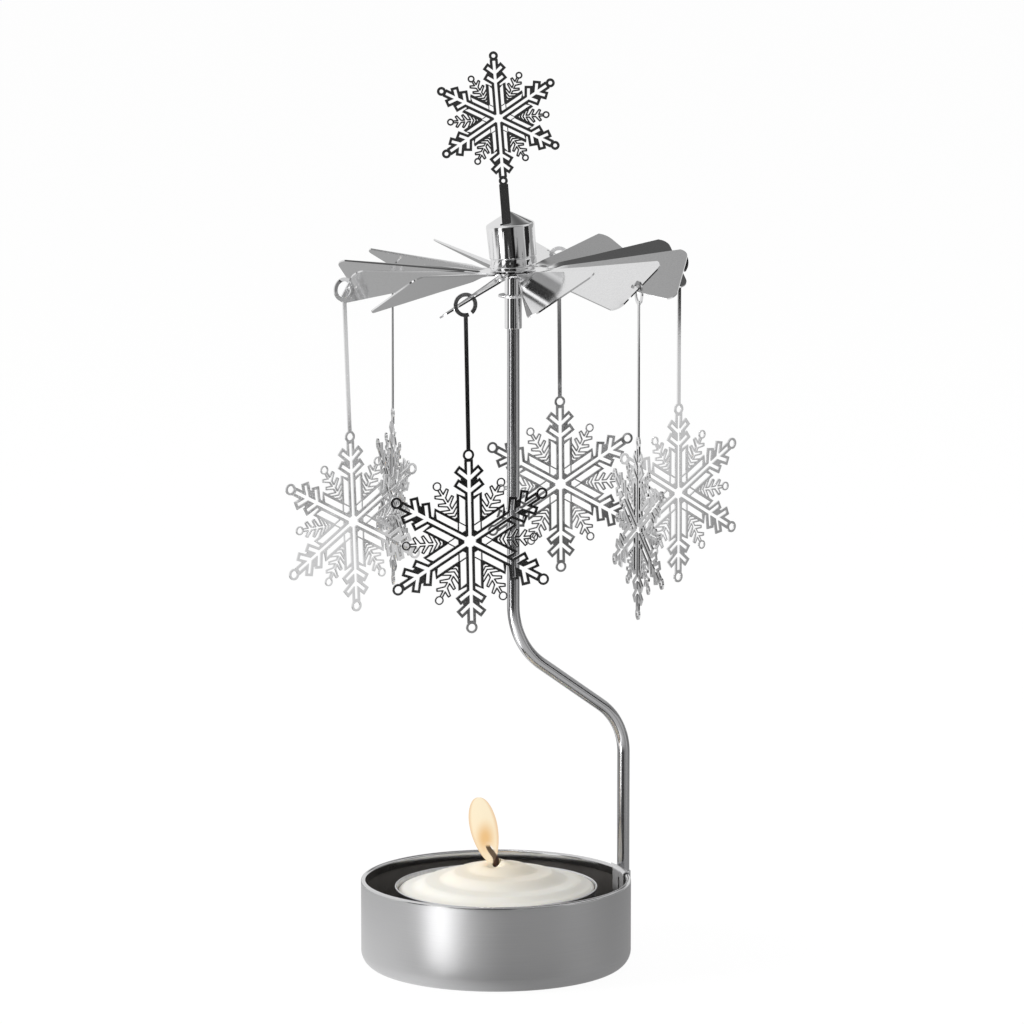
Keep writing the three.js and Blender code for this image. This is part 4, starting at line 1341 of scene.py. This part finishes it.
@dataclass
class RimClip:
    """Spring sheet folded over the rim: two fingers inside the cup, a curl round the wire's foot outside.

    The rim is the radius and height that the sheet folds about. The span is the angle where the clip starts
    and where its inner and its outer leaf end. The slot is its two angles and its top. The curl is its bore's
    radius, its thickness and its top.
    """

    wire: Wire
    rim: tuple[float, float] = (24.53, 15.85)
    fold: float = 0.62
    sheet: float = 0.2
    span: tuple[float, float, float] = (9.0, 24.3, 30.0)
    slot: tuple[float, float, float] = (15.9, 17.9, 14.9)
    inner_heights: tuple[float, ...] = (9.1, 11.0, 13.0)
    outer_heights: tuple[float, ...] = (13.0, 10.5, 8.1)
    straight: float = 0.2
    finger_middles: tuple[float, float] = (12.5, 21.0)
    widening: int = 8
    curl: tuple[float, float, float] = (1.17, 0.22, 15.2)

    def build(self, finish: bpy.types.Material) -> None:
        """Makes the folded leaf as a surface of height and angle, and the curl as a turned ring.

        Args:
            finish: The clip's finish.
        """
        r, z = self.rim
        from_slot, to_slot, slot_top = self.slot
        inner = [(r - self.fold, h) for h in (*self.inner_heights, slot_top, z - self.straight)]
        outer = [(r + self.fold, h) for h in (z - self.straight, *self.outer_heights)]
        profile = np.array(inner + arc((r, z), self.fold, 180, 0, 12) + outer)
        low, left, wide = self.span
        along = np.arange(len(profile))
        high = left + (wide - left) * np.clip((along - len(inner)) / self.widening, 0, 1)
        cuts = np.array([low, self.finger_middles[0], from_slot, to_slot, self.finger_middles[1], left])
        share = (cuts - low) / (left - low)
        angle = np.radians(cuts + share ** 2 * (high - left)[:, None])
        points = np.stack([profile[:, :1] * np.cos(angle), profile[:, :1] * np.sin(angle),
                           np.broadcast_to(profile[:, 1:], angle.shape)], -1)
        faces = grid_faces(len(profile), len(cuts), False)
        row, column = np.divmod(np.arange(len(faces)), len(cuts) - 1)
        in_slot = (column == 2) & (row < len(self.inner_heights))
        faces = faces[~in_slot]
        leaf = Piece("clip_leaf", Body.STAND.value, Slot.POLISHED, ("rim_clip",)).build(
            points.reshape(-1, 3), faces, finish, smooth_deg=40)
        wall = leaf.modifiers.new("sheet", "SOLIDIFY")
        wall.thickness, wall.offset = self.sheet * MM, 0.0
        soften(leaf, 0.05)
        bore, thick, top = self.curl
        low = self.outer_heights[-1]
        ring = [(bore, low), (bore + thick, low + 0.05), (bore + thick, top - 0.1),
                (bore + thick / 2, top), (bore, top - 0.1), (bore, low)]
        points, faces = turned(ring, 40)
        foot = math.radians(self.wire.foot_angle)
        points += (self.wire.foot_radius * math.cos(foot), self.wire.foot_radius * math.sin(foot), 0.0)
        Piece("clip_curl", Body.STAND.value, Slot.POLISHED).build(points, faces, finish, smooth_deg=40)


@dataclass
class Pivot:
    """Sleeve, collar and needle on top of the wire.

    The sleeve is outer and inner radius, lower and upper end. The collar is its radius, height and
    thickness. The needle is its radius, lower end, the height where it tapers, and its tip.
    """

    axis: float = 3.2
    sleeve: tuple[float, float, float, float] = (1.6, 1.25, 119.0, 128.3)
    collar: tuple[float, float, float] = (2.8, 124.8, 0.45)
    needle: tuple[float, float, float, float] = (1.1, 122.3, 130.0, 139.08)
    edge: float = 0.1
    segments: int = 64

    def build(self, finish: bpy.types.Material) -> None:
        """Makes the three turned pieces.

        Args:
            finish: The plate's finish.
        """
        outer, bore, low, high = self.sleeve
        edge = self.edge
        sleeve = [(bore, low), (outer - edge, low), (outer, low + edge), (outer, high - edge),
                  (outer - edge, high), (bore, high), (bore, low)]
        reach, low, thick = self.collar
        half, inner = thick / 2, outer + 0.15
        collar = [(inner, low), (reach - half, low), *arc((reach - half, low + half), half, -90, 90, 8),
                  (inner, low + thick), (inner, low)]
        radius, low, taper, tip = self.needle
        needle = [(0, low), (radius, low), (radius, taper), (0.15, tip - 0.15), (0, tip)]
        for name, node, profile, sharp in (("pivot_sleeve_turned", "pivot_sleeve", sleeve, 30),
                                           ("collar_turned", "collar_ring", collar, 50),
                                           ("needle_turned", "pivot_needle", needle, 30)):
            points, faces = turned(profile, self.segments, self.axis)
            Piece(name, Body.STAND.value, Slot.POLISHED, (node,)).build(points, faces, finish, smooth_deg=sharp)


@dataclass
class Cup:
    """The drawn cup with its folded rim."""

    radius: float = 25.0
    height: float = 16.3
    wall: float = 0.4
    corner: float = 3.0
    hem_depth: float = 1.8
    hem: float = 0.9
    segments: int = 192

    def build(self, finish: bpy.types.Material) -> None:
        """Makes the cup as one closed surface of revolution.

        Args:
            finish: The cup's finish.
        """
        r, h, c = self.radius, self.height, self.corner
        rim = self.hem / 2
        bottom = [(0, 0.0), (r - c, 0.0)]
        profile = bottom + arc((r - c, c), c, -90, 0, 14)
        profile += [(r, z) for z in np.linspace(c + 1.5, h - rim - 0.3, 8)]
        profile += arc((r - rim, h - rim), rim, 0, 180, 10)
        profile += [(r - self.hem, h - self.hem_depth + 0.1), (r - self.hem + 0.1, h - self.hem_depth),
                    (r - self.wall, h - self.hem_depth)]
        profile += arc((r - c, c), c - self.wall, 0, -90, 10)
        profile += [(0, self.wall)]
        points, faces = turned(profile, self.segments)
        Piece("cup_drawn", Body.STAND.value, Slot.CUP, ("cup_bowl",)).build(
            points, faces, finish, smooth_deg=40)


# Tealight and flame


@dataclass
class Tealight:
    """Shell, wax with its spiral mound, wick and flame.

    The shell is its radius, lower and upper end. The knob is the height and radius of the wax's top. The
    pool is depth, X, Y and squared radius of the melted hollow. The profile wax_below is radius and height.
    """

    shell: tuple[float, float, float] = (18.75, 0.7, 14.9)
    wall: float = 0.3
    wax_radius: float = 18.15
    wax_edge: float = 14.62
    edge_round: float = 0.6
    mound: float = 5.3
    pitch: float = 5.5
    spiral_start: float = 3.5
    hold: float = 0.68
    knob: tuple[float, float] = (0.35, 1.8)
    tilt: float = 0.02
    pool: tuple[float, float, float, float] = (1.5, -0.2, -1.3, 1.7)
    wick_hole: float = 0.95
    wax_below: tuple = ((17.8, 1.3), (6.3, 1.3), (6.3, 2.0), (1.75, 2.0), (1.75, 4.0), (0.95, 4.0))
    wick_radius: float = 0.55
    wick_rise: float = 2.8
    wick_lean: float = 1.5
    form: FlameForm = FlameForm()
    flame_sides: int = 48

    def wax_height(self, r: Array, angle: Array) -> Array:
        """Height of the wax: a mound over radius whose radius is held along a spiral, as in piped icing.

        Args:
            r: Radii.
            angle: Angles in radians.

        Returns:
            Heights in millimetres.
        """
        turn = angle / TAU
        phase = (r - self.spiral_start) / self.pitch - turn
        whole = np.floor(phase)
        riser = np.clip((phase - whole - 0.5) / 0.6 + 0.5, 0, 1)
        riser = riser * riser * (3 - 2 * riser)
        held = self.spiral_start + self.pitch * (whole + riser + turn)
        share = self.hold * np.clip((r - 3.0) / 3.0, 0, 1) * np.clip((self.wax_radius - 1.0 - r) / 2.5, 0, 1)
        level = np.clip(r + (held - r) * share, 0, None)
        inward = np.clip(1 - level / (self.wax_radius - 0.3), 0, 1)
        rise, spread = self.knob
        x, y = r * np.cos(angle), r * np.sin(angle)
        mound = self.mound * inward + rise * np.exp(-((level / spread) ** 2)) + self.tilt * x
        depth, pool_x, pool_y, spread = self.pool
        melt = depth * np.exp(-((x - pool_x) ** 2 + (y - pool_y) ** 2) / spread)
        edge = np.clip((r - (self.wax_radius - self.edge_round)) / self.edge_round, 0, 1)
        return self.wax_edge + mound - melt - self.edge_round * (1 - np.sqrt(1 - edge ** 2 * 0.999))

    def build(self, foil: bpy.types.Material, wax: bpy.types.Material, char: bpy.types.Material,
              glow: bpy.types.Material) -> None:
        """Makes the pieces.

        Args:
            foil: Finish of the shell.
            wax: Finish of the wax.
            char: Finish of the wick.
            glow: Finish of the flame.
        """
        r, low, high = self.shell
        floor = r - 0.35
        points, faces = turned([
            (0, low), (floor - 0.3, low), (floor, low + 0.3), (r - 0.2, high - 0.4),
            *arc((r - 0.15, high - 0.15), 0.15, 0, 180, 6),
            (r - 0.45, high - 0.4), (floor - 0.3, low + 0.3), (0, low + 0.3)], 144)
        Piece("tealight_foil_shell", Body.TEALIGHT.value, Slot.FOIL, ("tealight_shell",)).build(
            points, faces, foil, smooth_deg=40)
        self.build_wax(wax)
        self.build_wick(char)
        self.build_flame(glow)

    def build_wax(self, finish: bpy.types.Material) -> None:
        """Makes the wax: its top is a height over radius and angle, its side and bottom are turned.

        Args:
            finish: The wax's finish.
        """
        segments = 240
        radii = np.concatenate([np.linspace(self.wick_hole, self.wax_radius - self.edge_round, 110),
                                self.wax_radius - self.edge_round
                                + self.edge_round * np.sin(np.linspace(0.08, 0.5, 10) * math.pi)])
        angle = np.arange(segments) * TAU / segments
        r, a = np.meshgrid(radii, angle, indexing="ij")
        top = np.stack([r * np.cos(a), r * np.sin(a), self.wax_height(r, a)], -1)
        low = [(self.wax_radius - 0.3, 6.0), *self.wax_below]
        side = np.stack([np.stack([q * np.cos(angle), q * np.sin(angle), np.full(segments, z)], -1)
                         for q, z in low])
        points = np.concatenate([top, side, top[:1]])
        Piece("wax_mound", Body.TEALIGHT.value, Slot.WAX, ("tealight_wax",)).build(
            points.reshape(-1, 3), grid_faces(len(points), segments, True), finish, smooth_deg=60)

    def build_wick(self, finish: bpy.types.Material) -> None:
        """Makes the wick: upright in the wax, then bending over, thinner at its end.

        Args:
            finish: The wick's finish.
        """
        apex = float(self.wax_height(np.array([self.wick_hole]), np.array([0.0]))[0])
        z = np.linspace(1.3, apex + self.wick_rise, 60)
        free = np.clip((z - apex) / self.wick_rise, 0, 1)
        path = np.stack([-self.wick_lean * (0.5 - 0.5 * np.cos(math.pi * free)), np.zeros_like(z), z], -1)
        radius = self.wick_radius * (1 - 0.25 * free)
        points, faces, uv = tube(path, radius, 20)
        Piece("wick_braid", Body.TEALIGHT.value, Slot.WICK, ("tealight_wick",)).build(
            points, faces, finish, smooth_deg=50, uv=uv)

    def build_flame(self, finish: bpy.types.Material) -> None:
        """Makes the flame: a blunt drop whose radius is a power of a sine over its height, leaning.

        Args:
            finish: The flame's finish.
        """
        form = self.form
        t = 0.5 - 0.5 * np.cos(np.linspace(0, math.pi, 73))
        radius = form.girth * np.sin(math.pi * t ** form.belly).clip(0) ** form.bluntness
        radius[[0, -1]] = 0
        z = form.bottom + form.height * t
        middle = np.stack([-form.offset - form.lean * t ** form.curve, np.zeros_like(t), z], -1)
        angle = np.arange(self.flame_sides) * TAU / self.flame_sides
        ring = np.stack([np.cos(angle), form.depth * np.sin(angle), np.zeros_like(angle)], -1)
        points = middle[:, None] + radius[:, None, None] * ring[None]
        made = Piece("flame", Body.TEALIGHT.value, Slot.WAX).build(
            points.reshape(-1, 3), grid_faces(len(t), self.flame_sides, True), finish, smooth_deg=80)
        made.visible_shadow = False


# Studio


@dataclass(frozen=True)
class Card:
    """A dark upright card beside the set, which only reflections show, in millimetres."""

    name: str
    degrees: float
    distance: float
    width: float
    heights: tuple[float, float]
    around: tuple[float, float] = (3.0, 0.0)
    level: float = 0.02

    def build(self) -> None:
        """Makes the card square to the direction that it is seen in, counted from the camera's side."""
        a = math.radians(self.degrees)
        out = np.array([math.sin(a), -math.cos(a), 0.0])
        along = np.array([math.cos(a), math.sin(a), 0.0]) * self.width / 2
        foot = np.array([*self.around, 0.0]) + out * self.distance
        low, high = (np.array([0.0, 0.0, z]) for z in self.heights)
        corners = np.stack([foot - along + low, foot + along + low, foot + along + high, foot - along + high])
        mesh = bpy.data.meshes.new(self.name)
        mesh.from_pydata(corners * MM, [], [(0, 1, 2, 3)])
        maker = MaterialMaker(self.name)
        maker.surface(maker.emission(self.level))
        mesh.materials.append(maker.material)
        made = bpy.data.objects.new(self.name, mesh)
        made.visible_camera = made.visible_diffuse = made.visible_shadow = made.visible_transmission = False
        bpy.context.scene.collection.objects.link(made)


@dataclass(frozen=True)
class Lamp:
    """An area lamp that reflections don't show, in metres and watts."""

    name: str
    place: tuple[float, float, float]
    target: tuple[float, float, float]
    size: tuple[float, float]
    power: float

    def build(self) -> None:
        """Makes the lamp and points it at its target."""
        data = bpy.data.lights.new(self.name, "AREA")
        data.shape = "RECTANGLE"
        data.size, data.size_y = self.size
        data.energy = self.power
        made = bpy.data.objects.new(self.name, data)
        made.location = self.place
        made.rotation_euler = (Vector(self.target) - Vector(self.place)).to_track_quat("-Z", "Y").to_euler()
        made.visible_glossy = False
        bpy.context.scene.collection.objects.link(made)


@dataclass
class Studio:
    """Camera, floor, surroundings and lamps.

    The horizon pairs degrees, counted from the camera's side towards the right, with the level that mirrors
    see there. Each tuple of levels is a base followed by what its zones add to it or take from it.
    """

    camera: tuple[float, float, float] = (2.963, -1246.02, 293.70)
    pitch: float = 9.511
    focal: float = 242.08
    floor_box: tuple[float, float, float] = (1.6, -0.4, 3.0)
    floor_front: float = -30.0
    floor_near: tuple[float, float] = (70.0, 102.0)
    floor_left: tuple[float, float, float] = (1.25, 0.85, 0.48)
    floor_right: tuple[float, float, float] = (0.5, 0.12, 0.12)
    floor_back: float = 0.85
    diffuse: float = 0.44
    horizon: tuple = ((-180, 0.82), (-90, 0.85), (-85, 0.8), (-79, 0.10), (-62, 0.08), (-58, 1.3), (-44, 1.3),
                      (-40, 0.05), (-30, 0.03), (-12, 0.04), (0, 0.04), (4, 0.012), (13, 0.004), (18, 0.40),
                      (60, 0.42), (68, 0.7), (96, 0.7), (102, 0.3), (135, 0.35), (150, 0.78), (180, 0.82))
    peak: float = 1.5
    stripe: tuple[float, float, float] = (-58.0, -44.0, 9.0)
    overhead: tuple[float, float, float] = (0.30, 0.40, 0.87)
    ceiling: tuple[float, float, float] = (0.84, 0.74, 0.55)
    ground: tuple[float, float, float] = (0.75, 0.15, 1.4)
    behind: float = 0.8
    cards: tuple[Card, ...] = (Card("card_right", 82.0, 330.0, 165.0, (76.0, 150.0)),
                               Card("card_low", 34.4, 300.0, 84.0, (14.0, 79.0), (-5.3, -30.0), 0.01),
                               Card("card_hook", 33.6, 300.0, 60.0, (79.0, 92.0), (-5.3, -30.0), 0.01),
                               Card("card_back", 42.0, 330.0, 84.0, (8.0, 76.0), (11.7, 30.0), 0.10))
    lamps: tuple[Lamp, ...] = (Lamp("key_box", (-0.7, -0.25, 0.28), (0.0, 0.0, 0.02), (0.3, 0.35), 5.2),
                               Lamp("right_box", (0.8, -0.1, 0.4), (0.0, 0.0, 0.1), (0.3, 0.6), 0.8),
                               Lamp("top_box", (0.0, 0.25, 0.9), (0.0, 0.0, 0.1), (0.6, 0.6), 1.5))

    def build(self) -> None:
        """Makes everything that isn't the object."""
        scene = bpy.context.scene
        scene.view_settings.view_transform = "Standard"
        data = bpy.data.cameras.new("camera")
        data.sensor_width = 36.0
        data.lens = self.focal
        data.clip_start, data.clip_end = 0.01, 20.0
        camera = bpy.data.objects.new("camera", data)
        camera.location = Vector(self.camera) * MM
        camera.rotation_euler = (math.radians(90 - self.pitch), 0.0, 0.0)
        scene.collection.objects.link(camera)
        scene.camera = camera
        self.floor()
        self.world()
        for thing in (*self.cards, *self.lamps):
            thing.build()

    def floor(self) -> None:
        """Adds the floor: white to the eye with a faint shadow, greyer on the right in mirrors.

        Mirrors see past its front edge, where the surroundings' own stripes take over.
        """
        half, front, back = self.floor_box
        mesh = bpy.data.meshes.new("floor")
        mesh.from_pydata([(-half, front, -1e-5), (half, front, -1e-5), (half, back, -1e-5), (-half, back, -1e-5)],
                         [], [(0, 1, 2, 3)])
        maker = MaterialMaker("white_floor")
        eye, mirror = maker.rays()
        maker.finish(Base_Color=(0.9, 0.9, 0.9), Roughness=0.9, Specular_IOR_Level=0.0)
        x, y, _ = maker.place()
        reach = (x * x + y * y).root()
        near = reach.ramp(*self.floor_near)
        base, fall, far = self.floor_left
        left = base - near * fall + (1 - x.ramp(-330.0, -230.0)).greater(reach.ramp(750.0, 790.0)) * far
        base, fall, far = self.floor_right
        right = base - near * fall - reach.ramp(120.0, 300.0) * far
        level = left + (right - left) * (x / reach).ramp(-0.7, 0.3)
        level = level + (self.floor_back - level) * y.ramp(640.0, 760.0)
        glow = maker.emission(eye * 1.03 + (1 - eye) * level)
        seen = maker.node("ShaderNodeMixShader", inputs={
            0: eye.greater(mirror) * 0.93, 1: maker.shader.outputs[0], 2: glow})
        past = mirror * (1 - y.ramp(self.floor_front - 2.0, self.floor_front + 2.0))
        clear = maker.node("ShaderNodeBsdfTransparent")
        maker.surface(maker.node("ShaderNodeMixShader", inputs={
            0: past, 1: seen.outputs[0], 2: clear.outputs[0]}).outputs[0])
        mesh.materials.append(maker.material)
        made = bpy.data.objects.new("floor", mesh)
        bpy.context.scene.collection.objects.link(made)

    def world(self) -> None:
        """Sets the surroundings: white to the eye, and in mirrors upright stripes under a light ceiling."""
        world = bpy.data.worlds.new("studio")
        bpy.context.scene.world = world
        maker = NodeMaker(world)
        out = maker.node("ShaderNodeOutputWorld")
        direction = maker.node("ShaderNodeTexCoord").outputs["Generated"]
        x, y, z = maker.split(direction)
        turn = x.arctan2(0 - y) * (1 / TAU) + 0.5
        stops = [((degrees + 180) / 360, (level / self.peak,) * 3) for degrees, level in self.horizon]
        ramp = maker.node("ShaderNodeValToRGB", {"stops": stops}, {0: turn})
        band = maker.signal(ramp.outputs[0]) * self.peak
        length = math.sqrt(sum(c * c for c in self.overhead))
        patch = maker.node("ShaderNodeVectorMath", {"operation": "DOT_PRODUCT"},
                           {0: direction, 1: tuple(c / length for c in self.overhead)})
        ahead = (1 - y.ramp(-0.5, -0.05)) * x.ramp(-0.5, -0.1)
        base, hole, dark = self.ceiling
        above = base - maker.signal(patch.outputs["Value"]).ramp(0.80, 0.995) * hole - ahead * dark
        base, back, glare = self.ground
        towards_eye = (x * -0.5 - y * 0.866).ramp(0.55, 0.95)
        below = base - y.ramp(-0.3, 0.3) * back + towards_eye * (1 - z.ramp(-0.46, -0.42)) * glare
        level = band + (above - band) * z.ramp(0.30, 0.50)
        level = level + (below - level) * (1 - z.ramp(-0.34, -0.22))
        low, high, glare = self.stripe
        stripe = turn.between((low + 178) / 360, (low + 180) / 360, (high + 180) / 360, (high + 184) / 360)
        level = level + stripe * z.between(-0.85, -0.75, -0.265, -0.235) * glare
        behind = y.ramp(0.72, 0.86) * x.ramp(0.02, 0.1) * z.between(0.27, 0.32, 0.50, 0.56)
        level = level * (1 - behind * self.behind)
        eye, mirror = maker.rays()
        strength = eye + (1 - eye) * (mirror * level + (1 - mirror) * self.diffuse)
        background = maker.node("ShaderNodeBackground", inputs={"Color": (1, 1, 1, 1), "Strength": strength})
        maker.tree.links.new(background.outputs[0], out.inputs["Surface"])


def dress_node(name: str, material: bpy.types.Material, bevel: float) -> None:
    """Gives a CAD node that stays a better finish and softer edges.

    Args:
        name: The node.
        material: Its finish.
        bevel: Width of its bevels in millimetres.
    """
    node = frame["nodes"][name]
    node.data.materials.clear()
    node.data.materials.append(material)
    soften(node, bevel, 40.0)
    log.info("%s: kept", name)


def main() -> None:
    """Builds the studio and every piece in order."""
    logging.basicConfig(level=logging.INFO, format="%(name)s: %(message)s")
    Studio().build()
    plate = PolishedPlate().make()
    sheet = EtchedPlate().make()
    blade = EtchedPlate(name="fan_sheet", colour=(0.87, 0.87, 0.875), gloss=0.05).make()
    rotor = Rotor()
    CharmSet().build(sheet)
    Topper(rotor).build(sheet)
    Fan(rotor).build(blade)
    Hub(rotor).build(plate)
    wire = Wire()
    wire.build(DrawnWire().make())
    spring = PolishedPlate(name="spring_sheet", colour=(0.64, 0.64, 0.65), gloss=0.24, metal=0.55)
    RimClip(wire).build(spring.make())
    Pivot().build(plate)
    Cup().build(SatinCup().make())
    foil = DrawnFoil().make()
    Tealight().build(foil, IvoryWax().make(), CharredWick().make(), FlameGlow().make())
    dress_node("wick_sustainer", foil, 0.05)


if __name__ == "__main__":
    main()
